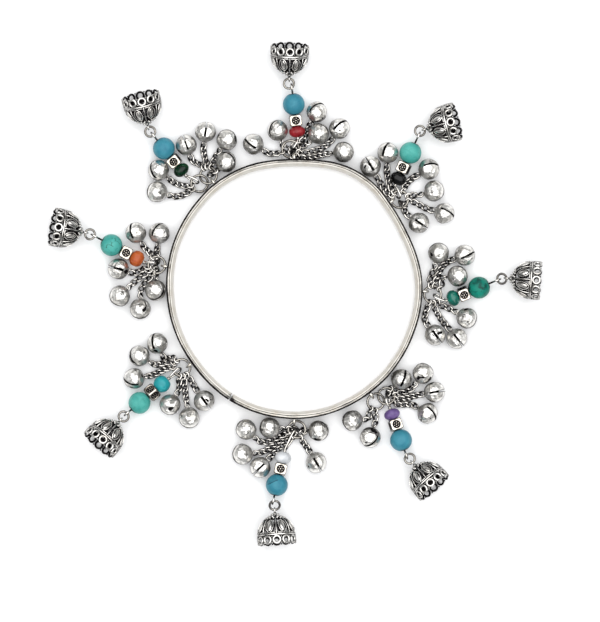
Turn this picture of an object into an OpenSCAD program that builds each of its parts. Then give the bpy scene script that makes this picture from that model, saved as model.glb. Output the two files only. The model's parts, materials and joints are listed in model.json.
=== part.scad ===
// Bell bangle: a hand-bent silver band with eight clusters of jingle bells and bead drops.
// It lies flat: Z = 0 is the surface it rests on, and the origin is the middle of the wrist opening.

/* [Band] */
// Height of the band
band_h = 4.4; // [3.8:0.1:5.2]
// Width of the flat rim on the top and bottom edges
rim_w = 0.75; // [0.5:0.05:1]
// How far the domed inside face swells past the rim
inside_swell = 0.75; // [0.3:0.05:1]
// How far the raised edges of the outer face stand past the rim
edge_lip = 0.45; // [0.35:0.05:0.6]
// Depth of the channel between the raised edges
channel_depth = 0.25; // [0.1:0.05:0.3]
// Gap of the butt joint where the two ends of the strip meet
seam_gap = 0.4; // [0.3:0.05:0.8]

/* [Rings and eyes] */
// Ring radius of a soldered eye, to the middle of its wire
eye_r = 1.1; // [1.05:0.05:1.2]
// Wire radius of a soldered eye
eye_wire = 0.3; // [0.25:0.05:0.3]
// Ring radius of a cluster's jump ring
hub_r = 2.2; // [2.15:0.05:2.25]
// Wire radius of a cluster's jump ring
hub_wire = 0.33; // [0.25:0.01:0.33]
// Ring radius of the small ring that holds a filigree cap
link_r = 1.3; // [1.25:0.05:1.35]
// Wire radius of the small rings and of the drop pins
pin_wire = 0.25; // [0.2:0.01:0.25]

/* [Jingle bells] */
// Radius of a jingle bell
bell_r = 2.75; // [2.6:0.05:2.8]
// Thickness of the bell's wall
bell_wall = 0.35; // [0.25:0.05:0.5]
// Width of the slit in a bell
slit_w = 0.4; // [0.3:0.05:0.6]
// Radius of the round hole at each end of the slit
slit_hole_r = 0.36; // [0.3:0.02:0.45]
// Radius of a bell chain, over its links
chain_r = 0.5; // [0.4:0.05:0.5]

/* [Beads] */
// Radius of a round stone bead
stone_r = 2.85; // [2.7:0.05:2.9]
// Length of a stone bead from its middle to the flat round each end of its hole
stone_half = 2.76; // [2.6:0.02:2.8]
// Side of a silver cube bead, across its pin
cube_side = 3.1; // [2.8:0.1:3.1]
// Length of a silver cube bead along its pin
cube_len = 2.8; // [2.6:0.1:2.8]
// Widest radius of an accent bead
accent_r = 2.2; // [1.9:0.05:2.2]
// Number of facets round an accent bead
accent_facets = 10; // [8:1:12]
// Radius of the hole drilled through a bead
drill_r = 0.42; // [0.4:0.01:0.5]

/* [Filigree caps] */
// Radius of the cap at its mouth
mouth_r = 4.95; // [4.7:0.05:5.1]
// Height of the cap from its mouth to its tip
cap_h = 8.6; // [8.4:0.1:8.8]
// Thickness of the cap's wall
cap_wall = 0.5; // [0.4:0.05:0.7]
// Number of wire rings round the mouth
rim_rings = 12; // [10:1:12]
// Number of leaves, with a rib between each two
leaves = 8; // [6:1:9]

/* [Hidden] */
$fn = 48;
// Small overlap that solders one piece of metal into the next
solder = 0.05;
// Clear space between pieces that only touch
clear = 0.1;

// The strip's outer rim edge, bent by hand: bearing in degrees from the origin, distance in mm
OUTLINE = [
    [0, 32.85], [32, 32.5], [62, 34.3], [90, 33.35], [115, 33.9], [150, 33.35],
    [185, 32.7], [215, 32.45], [239.5, 32.95], [270, 33.25], [305, 32.95], [335, 32.7]
];
SEAM_BEARING = 239.5;

// One row for each cluster:
// [eye bearing, bearing from the eye to the jump ring's middle,
//  stone bead x, stone bead y, pin bearing, pin's reach past the stone bead,
//  bearing from the pin's end to the cap ring, bearing from the cap ring to the cap,
//  cap bearing, cap tilt, spin of the cube bead, length of the accent bead,
//  which jump ring the pin hangs on, colour of the accent bead, colour of the stone bead]
CLUSTERS = [
    [90, 115, -0.1, 48.0, 97, 4.3, 125, 87, 89, 14, 0, 2.8, 1, "firebrick", "steelblue"],
    [42, 15, 30.2, 35.4, 65, 4.9, 73, 16, 14, 12, -15, 3.2, 1, "black", "mediumturquoise"],
    [359, -20, 48.0, 0.4, 22, 5.0, 18, 5, -4.5, 5, 15, 3.0, 1, "seagreen", "teal"],
    [306, 306, 27.7, -39.2, -71, 4.1, -45, -56, -49, 12, -10, 2.7, 2, "rebeccapurple", "steelblue"],
    [270, 288, -4.5, -50.8, 257, 4.1, 285, 270, 274, 5, 0, 3.0, 1, "gainsboro", "steelblue"],
    [216, 198, -40.1, -29.5, 220, 4.1, 223, 227, 229, 12, 42, 3.7, 1, "darkturquoise", "mediumaquamarine"],
    [170, 170, -47.4, 11.4, 152, 4.9, 159, 160, 170, 10, 0, 3.4, 1, "chocolate", "mediumaquamarine"],
    [127, 127, -33.8, 36.5, 129, 4.3, 131, 115, 104, 14, -12, 2.9, 2, "darkgreen", "steelblue"]
];
COUNT = len(CLUSTERS);

// Second jump rings: [cluster, x, y, z of the middle, bearing of the low side]
SECOND_RINGS = [[4, 24.0, -27.7, 1.56, 126], [8, -24.6, 27.45, 1.56, 307]];

// One row for each jingle bell:
// [cluster, x, y, bearing of its loop, lift of its slit end, roll of its slit,
//  bearing from the ring's middle to the chain's start, which ring holds it,
//  distance of the start from the ring's middle when it lies under the ring (0 for outside it),
//  pull of the chain's bends in mm (0 for the usual share of its length)]
BELLS = [
    [1, -10.6, 37.6, -30, 25, 15, 200, 1, 0, 0],
    [1, -4.3, 41.2, 290, 25, 60, -80, 1, 0.9, 0.8],
    [1, 5.9, 46.0, 242, 25, 40, 32, 1, 0, 1.6],
    [1, 6.3, 40.4, 222, 25, 90, 10, 1, 0.8, 1.0],
    [1, 11.8, 41.7, 235, 30, 25, -18, 1, 0, 2.6],
    [1, 12.8, 35.6, 185, 20, 70, -43, 1, 0, 2.2],
    [2, 24.3, 35.4, 268, 25, 30, 132, 1, 0, 0],
    [2, 19.8, 31.9, 303, 30, 0, 158, 1, 0, 0],
    [2, 35.0, 31.2, 208, 25, 30, 70, 1, 0, 0],
    [2, 36.3, 25.5, 195, 15, 90, 22, 1, 0, 0],
    [2, 39.0, 19.7, 165, 30, 20, -8, 1, 0, 0],
    [2, 32.4, 17.2, 144, 30, 0, -55, 1, 0.8, 1.0],
    [3, 37.5, 9.4, 255, 20, 90, 105, 1, 0, 0],
    [3, 44.3, 8.8, 200, 30, -10, 80, 1, 0, 0],
    [3, 42.4, 3.4, 185, 25, 80, 38, 1, 0, 0.9],
    [3, 44.8, -7.5, 150, 20, 90, -55, 1, 0, 0],
    [3, 36.6, -11.9, 126, 30, 0, -112, 1, 0, 0],
    [3, 42.2, -12.8, 128, 30, 0, -83, 1, 0, 0],
    [4, 15.1, -34.1, 5, 20, 90, 235, 1, 0, 1.2],
    [4, 19.7, -38.4, 70, 25, 40, 270, 1, 0, 0],
    [4, 27.8, -23.4, 240, 40, -15, 60, 2, 0.4, 0.6],
    [4, 33.4, -21.9, 235, 15, 90, 12, 2, 0, 0],
    [4, 36.4, -26.7, 190, 30, 0, -14, 2, 0, 0],
    [4, 34.6, -32.2, 150, 25, 30, -42, 2, 0, 0],
    [5, -12.5, -36.4, -42, 20, 90, 203, 1, 0, 3.0],
    [5, -6.4, -36.0, -3, 25, 90, 170, 1, 0.4, 0.8],
    [5, -13.4, -42.8, 5, 20, 90, 206, 1, 2.27, 3.5],
    [5, -8.8, -46.2, 45, 30, 0, 245, 1, 1.3, 0],
    [5, 6.3, -36.8, 176, 25, 80, -20, 1, 0.5, 0.5],
    [5, 5.7, -45.0, 120, 30, 0, -65, 1, 0, 0],
    [6, -35.5, -14.1, -66, 25, 30, 125, 1, 0, 0],
    [6, -40.2, -17.3, -30, 20, 60, 152, 1, 0, 0],
    [6, -41.5, -23.2, 10, 25, 40, 180, 1, 0, 0],
    [6, -32.2, -29.9, 58, 15, 90, 258, 1, 0, 0],
    [6, -27.2, -33.4, 100, 15, 90, 283, 1, 0, 0],
    [6, -23.3, -29.0, 125, 30, 0, 308, 1, 0, 0],
    [7, -41.1, 14.6, -60, 25, 30, 118, 1, 0, 0],
    [7, -35.0, 14.5, 262, 25, 40, 85, 1, 0.9, 0.8],
    [7, -45.6, 5.2, -15, 30, 0, 196, 1, 0, 0],
    [7, -45.2, -1.8, 45, 20, 90, 219, 1, 0, 0],
    [7, -39.9, -5.1, 90, 20, 90, 243, 1, 0, 0],
    [7, -36.0, -0.3, 88, 25, 60, 260, 1, 0.4, 0.8],
    [8, -28.0, 37.4, -70, 30, 0, 125, 1, 0, 0],
    [8, -23.0, 40.8, 262, 30, 0, 100, 1, 0, 0],
    [8, -17.5, 38.7, 235, 20, 90, 72, 1, 0, 0],
    [8, -17.7, 33.05, 222, 40, 90, 30, 1, 0.6, 0.4],
    [8, -35.2, 30.8, -38, 25, 50, 195, 2, 0, 0],
    [8, -35.6, 25.2, -14, 20, 90, 222, 2, 0, 0]
];

// Vectors and bearings
function unit(v) = v / norm(v);
function flat_dir(b) = [cos(b), sin(b)];
function dir3(b, lift) = [cos(b) * cos(lift), sin(b) * cos(lift), sin(lift)];
function bearing_of(v) = atan2(v[1], v[0]);
function wrap(a) = a - 360 * floor(a / 360);

// The outline as a closed chain of tangent arcs, two between each pair of its points
function outline_point(i) = let (r = OUTLINE[wrap_index(i)]) r[1] * flat_dir(r[0]);
function wrap_index(i) = i - len(OUTLINE) * floor(i / len(OUTLINE));
function outline_tangent(i) = let (
    before = outline_point(i) - outline_point(i - 1),
    after = outline_point(i + 1) - outline_point(i)
) unit(before / (before * before) + after / (after * after));
function arc_from(p, t, q) = let (
    n = [-t[1], t[0]],
    w = q - p,
    r = (w * w) / (2 * (n * w))
) [p + n * r, r];
function arc_pair(i) = let (
    p = outline_point(i),
    q = outline_point(i + 1),
    tp = outline_tangent(i),
    tq = outline_tangent(i + 1),
    v = q - p,
    t = tp + tq,
    k = 1 - tp * tq,
    d = (-(v * t) + sqrt(pow(v * t, 2) + 2 * k * (v * v))) / (2 * k),
    m = (p + d * tp + q - d * tq) / 2,
    first = arc_from(p, tp, m),
    second = arc_from(q, tq, m)
) [[first[0], first[1], p, m], [second[0], second[1], m, q]];
ARCS = [for (i = [0 : len(OUTLINE) - 1], a = arc_pair(i)) a];

// Distance from the origin to the rim edge at a bearing
function holds_bearing(a, b) =
    wrap(b - bearing_of(a[2])) <= wrap(bearing_of(a[3]) - bearing_of(a[2]));
function reach(b) = let (
    a = [for (arc = ARCS) if (holds_bearing(arc, b)) arc][0],
    along = flat_dir(b) * a[0]
) along + sqrt(pow(along, 2) - a[0] * a[0] + pow(a[1], 2));

// Half of the band's profile, from the outer face over the top rim to the inside face
mid_h = band_h / 2;
BAND_PROFILE = [
    [edge_lip - channel_depth, mid_h - 1.2], [edge_lip - channel_depth, mid_h + 1.2],
    [edge_lip, mid_h + 1.35], [edge_lip, band_h - 0.4], [0, band_h],
    [-rim_w, band_h], [-rim_w - inside_swell * 0.8, mid_h + 1.1],
    [-rim_w - inside_swell, mid_h], [-rim_w - inside_swell * 0.8, mid_h - 1.1],
    [-rim_w, 0], [0, 0], [edge_lip, 0.4], [edge_lip, mid_h - 1.35]
];

// Where the eyes and jump rings stand. A lone jump ring lies level; two that are linked slope
// opposite ways.
eye_out = 0.85;
hub_out = 1.05;
ring_twist = 17;
function eye_bearing(n) = CLUSTERS[n - 1][0];
function hub_bearing(n) = CLUSTERS[n - 1][1];
function second_ring(n) = [for (r = SECOND_RINGS) if (r[0] == n) [r[1], r[2], r[3]]];
function hub_slope(n) = len(second_ring(n)) > 0 ? ring_twist : 0;
function hub_middle(n) = let (
    wire = (reach(eye_bearing(n)) + hub_out) * flat_dir(eye_bearing(n)),
    c = wire + hub_r * cos(hub_slope(n)) * flat_dir(hub_bearing(n))
) [c[0], c[1], mid_h - hub_r * sin(hub_slope(n))];
function ring_middle(n, which) = which == 1 ? hub_middle(n) : second_ring(n)[0];

// Where the pieces of a drop stand along its pin
pin_lift = 4;
cube_at = -(stone_half + cube_len / 2 + clear);
function accent_len(n) = CLUSTERS[n - 1][11];
function accent_at(n) = cube_at - (cube_len + accent_len(n)) / 2 - clear;
function pin_start(n) = accent_at(n) - accent_len(n) / 2 - 2 * clear - pin_wire;
end_loop_r = 0.95;

// The long loop at a pin's start runs straight to the middle of its jump ring and past the ring's wire
long_loop_r = 0.9;
long_loop_roll = 60;
loop_inside = 1.9;
function loop_run(n) = ring_middle(n, CLUSTERS[n - 1][12]) - pin_point(n, pin_start(n));
function loop_bearing(n) = bearing_of(loop_run(n));
function loop_len(n) = norm([loop_run(n)[0], loop_run(n)[1]]) - hub_r + loop_inside;
function stone_at(n) = [CLUSTERS[n - 1][2], CLUSTERS[n - 1][3], stone_r];
function pin_bearing(n) = CLUSTERS[n - 1][4];
function pin_reach(n) = CLUSTERS[n - 1][5];
function pin_point(n, s) = stone_at(n) + s * dir3(pin_bearing(n), pin_lift);

// A filigree cap's outline, as [radius, distance behind the mouth]: its dome is one arc from the
// band wire to the collar
band_at = 2.6;
wire_r = 0.25;
dome_bottom = [mouth_r - 0.15, band_at];
dome_mid = [mouth_r - 0.95, 5.4];
dome_top = [1.7, 7.2];
function circle_centre(a, b, c) = let (
    d = 2 * (a[0] * (b[1] - c[1]) + b[0] * (c[1] - a[1]) + c[0] * (a[1] - b[1])),
    x = (a * a) * (b[1] - c[1]) + (b * b) * (c[1] - a[1]) + (c * c) * (a[1] - b[1]),
    y = (a * a) * (c[0] - b[0]) + (b * b) * (a[0] - c[0]) + (c * c) * (b[0] - a[0])
) [x / d, y / d];
dome_c = circle_centre(dome_bottom, dome_mid, dome_top);
dome_r = norm(dome_bottom - dome_c);
function dome_angle(p) = bearing_of(p - dome_c);
cap_eye_r = 0.7;
cap_eye_wire = 0.2;
cap_eye_at = cap_h + 0.35;
function cap_bearing(n) = CLUSTERS[n - 1][8];
function cap_tilt(n) = CLUSTERS[n - 1][9];
function cap_mouth_z(n) = let (d = [cos(cap_tilt(n)), sin(cap_tilt(n))]) max(
    [mouth_r + 0.15, band_at / 2] * d,
    [mouth_r + 0.05, band_at] * d,
    dome_c * d + dome_r + wire_r
);
function cap_eye_z(n) = cap_mouth_z(n) - cap_eye_at * sin(cap_tilt(n));
function link_in(n) = pin_point(n, pin_reach(n));
function link_middle(n) = let (
    p = link_in(n),
    c = [p[0], p[1]] + link_r * flat_dir(CLUSTERS[n - 1][6])
) [c[0], c[1], (p[2] + cap_eye_z(n)) / 2];
function cap_eye_point(n) = let (
    m = link_middle(n),
    c = [m[0], m[1]] + link_r * flat_dir(CLUSTERS[n - 1][7])
) [c[0], c[1], cap_eye_z(n)];

// A jingle bell's loop and the curve that its chain follows from the jump ring
loop_r = 0.5;
loop_wire = 0.2;
loop_out = bell_r + loop_r - loop_wire;
chain_z = chain_r + 0.1;
chain_gap = 0.32;
chain_low = 0.3;
chain_pull = 0.4;
chain_steps = 9;
function bell_at(b) = [b[1], b[2], bell_r];
function under_ring(b) = b[8] > 0;
function chain_start(b) = let (
    m = ring_middle(b[0], b[7]),
    out = under_ring(b) ? b[8] : hub_r + hub_wire + chain_gap,
    c = [m[0], m[1]] + out * flat_dir(b[6])
) [c[0], c[1], under_ring(b) ? chain_z : m[2] - chain_low];
function chain_end(b) = let (
    q = bell_at(b) + (loop_out + loop_r + loop_wire + chain_gap) * dir3(b[3], -b[4])
) [q[0], q[1], max(q[2], chain_z)];
function chain_curve(b) = let (
    p = chain_start(b),
    q = chain_end(b),
    span = [q[0] - p[0], q[1] - p[1]],
    away = unit((under_ring(b) ? [0, 0] : flat_dir(b[6])) + unit(span)),
    pull = b[9] > 0 ? b[9] : chain_pull * norm(span)
) [
    p,
    [p[0] + pull * away[0], p[1] + pull * away[1], (p[2] + chain_z) / 2],
    [q[0] + pull * cos(b[3]), q[1] + pull * sin(b[3]), (q[2] + chain_z) / 2],
    q
];
function bezier(c, t) = pow(1 - t, 3) * c[0] + 3 * t * pow(1 - t, 2) * c[1]
    + 3 * pow(t, 2) * (1 - t) * c[2] + pow(t, 3) * c[3];
function bezier_dir(c, t) = unit(pow(1 - t, 2) * (c[1] - c[0])
    + 2 * t * (1 - t) * (c[2] - c[1]) + pow(t, 2) * (c[3] - c[2]));

module at_pose(p, spin, lift) {
    translate(p) rotate([0, lift, spin]) children();
}

module torus(ring, wire) {
    rotate_extrude() translate([ring, 0]) circle(wire);
}

module half_torus(ring, wire) {
    rotate([0, 0, -90]) rotate_extrude(angle = 180) translate([ring, 0]) circle(wire);
}

// Every second arc is a hair thinner and runs a little way into both its neighbours
joint_thin = [0.99, 0.998];
joint_lap = 0.4;
profile_middle = [(edge_lip - rim_w - inside_swell) / 2, mid_h];
THIN_PROFILE = [for (p = BAND_PROFILE) profile_middle + [
    (p[0] - profile_middle[0]) * joint_thin[0], (p[1] - profile_middle[1]) * joint_thin[1]
]];

module band_strip() {
    for (i = [0 : len(ARCS) - 1]) {
        a = ARCS[i];
        thin = i % 2 == 1;
        lap = thin ? joint_lap / a[1] * 180 / PI : 0;
        start = bearing_of(a[2] - a[0]);
        turn = wrap(bearing_of(a[3] - a[0]) - start);
        translate([a[0][0], a[0][1], 0])
            rotate([0, 0, start - lap])
                rotate_extrude(angle = turn + 2 * lap)
                    translate([a[1], 0]) polygon(thin ? THIN_PROFILE : BAND_PROFILE);
    }
}

module eye(n) {
    rotate([0, 0, eye_bearing(n)])
        translate([reach(eye_bearing(n)) + eye_out, 0, mid_h])
            rotate([90, 0, 0]) torus(eye_r, eye_wire);
}

module band() {
    color("silver") union() {
        difference() {
            band_strip();
            rotate([0, 0, SEAM_BEARING])
                translate([30, -seam_gap / 2, -1]) cube([6, seam_gap, band_h + 2]);
        }
        for (n = [1 : COUNT]) eye(n);
    }
}

module sloped_ring(middle, low_side, slope) {
    at_pose(middle, low_side, slope) torus(hub_r, hub_wire);
}

module cap_ring(n) {
    span = cap_eye_point(n) - link_in(n);
    rise = atan2(span[2], norm([span[0], span[1]]));
    at_pose(link_middle(n), bearing_of(span), -rise) torus(link_r, pin_wire);
}

module jump_rings() {
    color("lightgray") {
        for (n = [1 : COUNT]) {
            sloped_ring(hub_middle(n), hub_bearing(n), hub_slope(n));
            cap_ring(n);
        }
        for (r = SECOND_RINGS) sloped_ring([r[1], r[2], r[3]], r[4], ring_twist);
    }
}

// One bell chain as a smooth tube of its outer form, a closed sweep with eight sides
module chain_tube(b) {
    sides = 8;
    c = chain_curve(b);
    points = [for (i = [0 : chain_steps]) let (
        t = i / chain_steps,
        p = bezier(c, t),
        d = bezier_dir(c, t),
        side = unit(cross([0, 0, 1], d)),
        up = cross(d, side)
    ) for (k = [0 : sides - 1]) p + chain_r * (cos(360 * k / sides) * side + sin(360 * k / sides) * up)];
    last = chain_steps * sides;
    faces = concat(
        [[for (k = [0 : sides - 1]) k]],
        [[for (k = [0 : sides - 1]) last + sides - 1 - k]],
        [for (i = [0 : chain_steps - 1], k = [0 : sides - 1]) let (
            m = (k + 1) % sides
        ) [i * sides + k, (i + 1) * sides + k, (i + 1) * sides + m, i * sides + m]]
    );
    polyhedron(points, faces);
}

module bell_chains(n) {
    color("darkgray") for (b = BELLS) if (b[0] == n) chain_tube(b);
}

module jingle_bell() {
    slit_top = -0.3;
    difference() {
        union() {
            sphere(bell_r);
            translate([0, 0, loop_out]) rotate([90, 0, 0]) torus(loop_r, loop_wire);
        }
        sphere(bell_r - bell_wall);
        translate([-bell_r - 1, -slit_w / 2, -bell_r - 1])
            cube([2 * bell_r + 2, slit_w, bell_r + 1 + slit_top]);
        translate([0, 0, slit_top]) rotate([0, 90, 0])
            cylinder(r = slit_hole_r, h = 2 * bell_r + 2, center = true);
    }
}

module jingle_bells(n) {
    color("whitesmoke") for (b = BELLS) if (b[0] == n)
        at_pose(bell_at(b), b[3], 90 + b[4]) rotate([0, 0, b[5]]) jingle_bell();
}

// Puts a piece on a pin, with the pin's direction as its own Z axis
module on_pin(n, s) {
    at_pose(pin_point(n, s), pin_bearing(n), 90 - pin_lift) children();
}

module long_loop(length) {
    straight = length - 2 * long_loop_r;
    translate([long_loop_r, 0, 0]) mirror([1, 0, 0]) half_torus(long_loop_r, pin_wire);
    translate([long_loop_r + straight, 0, 0]) half_torus(long_loop_r, pin_wire);
    for (side = [-1, 1])
        translate([long_loop_r, side * long_loop_r, 0]) rotate([0, 90, 0])
            cylinder(r = pin_wire, h = straight);
}

module drop_pin(n) {
    color("lightgray") union() {
        on_pin(n, pin_start(n))
            cylinder(r = pin_wire, h = pin_reach(n) - end_loop_r - pin_start(n) + solder);
        on_pin(n, pin_reach(n)) rotate([90, 0, 0]) torus(end_loop_r, pin_wire);
        translate(pin_point(n, pin_start(n))) sphere(pin_wire + 0.05);
        translate(pin_point(n, pin_start(n)))
            rotate([0, 0, loop_bearing(n)]) rotate([long_loop_roll, 0, 0]) long_loop(loop_len(n));
    }
}

module round_accent(length) {
    difference() {
        intersection() {
            sphere(accent_r);
            cube([3 * accent_r, 3 * accent_r, length], center = true);
        }
        cylinder(r = drill_r, h = length + 1, center = true);
    }
}

// A pressed rondelle: a girdle, two rows of facets and a flat table at each end
module faceted_accent(length) {
    difference() {
        hull() {
            cylinder(r = accent_r, h = length * 0.16, center = true, $fn = accent_facets);
            rotate([0, 0, 180 / accent_facets])
                cylinder(r = accent_r * 0.84, h = length * 0.64, center = true, $fn = accent_facets);
            cylinder(r = accent_r * 0.5, h = length, center = true, $fn = accent_facets);
        }
        cylinder(r = drill_r, h = length + 1, center = true);
    }
}

ROUND_ACCENT = 6;
module accent_bead(n) {
    color(CLUSTERS[n - 1][13]) on_pin(n, accent_at(n))
        if (n == ROUND_ACCENT) round_accent(accent_len(n)); else faceted_accent(accent_len(n));
}

// The sunk round medallion on a cube's face, with a flower of raised dots
module medallion() {
    dots = 6;
    sunk = 0.15;
    translate([0, 0, cube_side / 2 - sunk]) difference() {
        cylinder(r = 1.02, h = 1);
        cylinder(r = 0.24, h = sunk);
        for (k = [0 : dots - 1])
            rotate([0, 0, 360 * k / dots]) translate([0.64, 0, 0]) cylinder(r = 0.19, h = sunk);
    }
}

module cube_bead(n) {
    color("beige") on_pin(n, cube_at) rotate([0, 0, CLUSTERS[n - 1][10]]) difference() {
        intersection() {
            cube([cube_side, cube_side, cube_len], center = true);
            sphere(cube_side * 0.74);
        }
        for (k = [0 : 3]) rotate([0, 90, 90 * k]) rotate([0, 0, 15]) medallion();
        cylinder(r = drill_r, h = cube_side + 1, center = true);
    }
}

module stone_bead(n) {
    color(CLUSTERS[n - 1][14]) on_pin(n, 0) difference() {
        intersection() {
            sphere(stone_r);
            cube([3 * stone_r, 3 * stone_r, 2 * stone_half], center = true);
        }
        cylinder(r = drill_r, h = 2 * stone_r + 1, center = true);
    }
}

// The cap stands on its mouth here: Z = 0 is the mouth and +Z runs to the tip.
module dome_shell() {
    rotate_extrude() intersection() {
        translate(dome_c) difference() {
            circle(dome_r);
            circle(dome_r - cap_wall);
        }
        translate([0.6, band_at]) square([mouth_r, dome_top[1] + 0.3 - band_at]);
    }
}

module rib() {
    turn = dome_angle(dome_top) - dome_angle(dome_bottom);
    translate([dome_c[0], 0, dome_c[1]]) rotate([90, 0, 0])
        rotate([0, 0, dome_angle(dome_bottom)])
            rotate_extrude(angle = turn) translate([dome_r, 0]) circle(wire_r);
}

// A leaf laid on the dome: the lens between two circles, pointed toward the band and the collar
module leaf() {
    at = (dome_angle(dome_bottom) + dome_angle(dome_top)) / 2 - 3;
    bow = 1.55;
    sideways = 0.85;
    translate([dome_c[0], 0, dome_c[1]]) rotate([0, -at, 0])
        translate([dome_r - 0.4, 0, 0]) rotate([0, 90, 0])
            intersection() {
                translate([0, -sideways, 0]) cylinder(r = bow, h = 0.72);
                translate([0, sideways, 0]) cylinder(r = bow, h = 0.72);
            }
}

module cap_tip() {
    translate([0, 0, dome_top[1]]) torus(1.55, 0.42);
    translate([0, 0, dome_top[1] - 0.1]) cylinder(r = 1.15, h = 0.9);
    translate([0, 0, cap_h - 0.65]) sphere(0.62);
    translate([0, 0, cap_eye_at]) rotate([90, 0, 0]) torus(cap_eye_r, cap_eye_wire);
}

module filigree_cap(n) {
    ring_out = (band_at - 0.1) / 2;
    color("gainsboro") translate(cap_eye_point(n))
        rotate([0, 0, cap_bearing(n)]) rotate([0, -90 - cap_tilt(n), 0]) translate([0, 0, -cap_eye_at])
            union() {
                dome_shell();
                translate([0, 0, band_at]) torus(mouth_r - 0.2, wire_r);
                for (k = [0 : rim_rings - 1]) rotate([0, 0, 360 * k / rim_rings])
                    translate([mouth_r - 0.22, 0, ring_out]) rotate([0, 90, 0]) torus(ring_out - wire_r, wire_r);
                for (k = [0 : leaves - 1]) rotate([0, 0, 360 * k / leaves]) {
                    rib();
                    rotate([0, 0, 180 / leaves]) leaf();
                }
                cap_tip();
            }
}

band();
jump_rings();
bell_chains(1);  // bell_chains_1
bell_chains(2);  // bell_chains_2
bell_chains(3);  // bell_chains_3
bell_chains(4);  // bell_chains_4
bell_chains(5);  // bell_chains_5
bell_chains(6);  // bell_chains_6
bell_chains(7);  // bell_chains_7
bell_chains(8);  // bell_chains_8
jingle_bells(1);  // jingle_bells_1
jingle_bells(2);  // jingle_bells_2
jingle_bells(3);  // jingle_bells_3
jingle_bells(4);  // jingle_bells_4
jingle_bells(5);  // jingle_bells_5
jingle_bells(6);  // jingle_bells_6
jingle_bells(7);  // jingle_bells_7
jingle_bells(8);  // jingle_bells_8
drop_pin(1);  // drop_pin_1
drop_pin(2);  // drop_pin_2
drop_pin(3);  // drop_pin_3
drop_pin(4);  // drop_pin_4
drop_pin(5);  // drop_pin_5
drop_pin(6);  // drop_pin_6
drop_pin(7);  // drop_pin_7
drop_pin(8);  // drop_pin_8
accent_bead(1);  // accent_bead_1
accent_bead(2);  // accent_bead_2
accent_bead(3);  // accent_bead_3
accent_bead(4);  // accent_bead_4
accent_bead(5);  // accent_bead_5
accent_bead(6);  // accent_bead_6
accent_bead(7);  // accent_bead_7
accent_bead(8);  // accent_bead_8
cube_bead(1);  // cube_bead_1
cube_bead(2);  // cube_bead_2
cube_bead(3);  // cube_bead_3
cube_bead(4);  // cube_bead_4
cube_bead(5);  // cube_bead_5
cube_bead(6);  // cube_bead_6
cube_bead(7);  // cube_bead_7
cube_bead(8);  // cube_bead_8
stone_bead(1);  // stone_bead_1
stone_bead(2);  // stone_bead_2
stone_bead(3);  // stone_bead_3
stone_bead(4);  // stone_bead_4
stone_bead(5);  // stone_bead_5
stone_bead(6);  // stone_bead_6
stone_bead(7);  // stone_bead_7
stone_bead(8);  // stone_bead_8
filigree_cap(1);  // filigree_cap_1
filigree_cap(2);  // filigree_cap_2
filigree_cap(3);  // filigree_cap_3
filigree_cap(4);  // filigree_cap_4
filigree_cap(5);  // filigree_cap_5
filigree_cap(6);  // filigree_cap_6
filigree_cap(7);  // filigree_cap_7
filigree_cap(8);  // filigree_cap_8
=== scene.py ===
import json
import math
import random
from collections import namedtuple
from contextlib import contextmanager
from functools import partialmethod

import bmesh
import bpy
import numpy as np
from mathutils import Matrix, Vector
from mathutils.bvhtree import BVHTree

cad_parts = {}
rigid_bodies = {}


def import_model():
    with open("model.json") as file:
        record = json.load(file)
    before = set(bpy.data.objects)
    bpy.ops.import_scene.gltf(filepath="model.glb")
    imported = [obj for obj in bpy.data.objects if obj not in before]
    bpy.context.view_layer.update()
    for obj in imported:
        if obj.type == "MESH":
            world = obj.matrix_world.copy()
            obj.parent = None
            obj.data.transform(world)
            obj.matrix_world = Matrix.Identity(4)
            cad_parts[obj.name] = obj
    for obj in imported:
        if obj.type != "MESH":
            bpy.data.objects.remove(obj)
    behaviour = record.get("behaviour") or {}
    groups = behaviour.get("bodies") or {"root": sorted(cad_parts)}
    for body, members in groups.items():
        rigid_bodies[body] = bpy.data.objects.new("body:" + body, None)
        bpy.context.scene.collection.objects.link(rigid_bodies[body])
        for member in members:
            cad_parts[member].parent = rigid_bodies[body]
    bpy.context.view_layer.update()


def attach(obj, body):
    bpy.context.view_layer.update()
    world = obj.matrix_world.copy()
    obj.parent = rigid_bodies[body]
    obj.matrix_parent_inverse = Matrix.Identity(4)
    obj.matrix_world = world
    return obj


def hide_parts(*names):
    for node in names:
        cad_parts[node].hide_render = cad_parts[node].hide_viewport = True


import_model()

# A bell bangle lying flat: a hand-bent silver band, and round it eight clusters of jingle bells on
# short chains, each with a bead drop that ends in a filigree cap. Shapes are worked out in
# millimetres, in the part's own frame, and put into metres as each piece is finished.
MM = 0.001

# Band
BAND_H, SEAM_GAP, SEAM_BEARING = 4.4, 0.4, 239.5
MID_H = BAND_H / 2
# The strip's outer rim edge: bearing in degrees, distance from the middle
OUTLINE = [
    (0, 32.85), (32, 32.5), (62, 34.3), (90, 33.35), (115, 33.9), (150, 33.35),
    (185, 32.7), (215, 32.45), (239.5, 32.95), (270, 33.25), (305, 32.95), (335, 32.7),
]

# Rings, eyes and pins
EYE_R, EYE_WIRE, EYE_OUT = 1.1, 0.3, 0.85
HUB_R, HUB_WIRE, HUB_OUT = 2.2, 0.33, 1.05
LINK_R, PIN_WIRE = 1.3, 0.25
RING_TWIST = 17
PIN_LIFT = 4
END_LOOP_R = 0.95
LONG_LOOP_R, LONG_LOOP_ROLL, LOOP_INSIDE = 0.9, 60, 1.9

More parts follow.
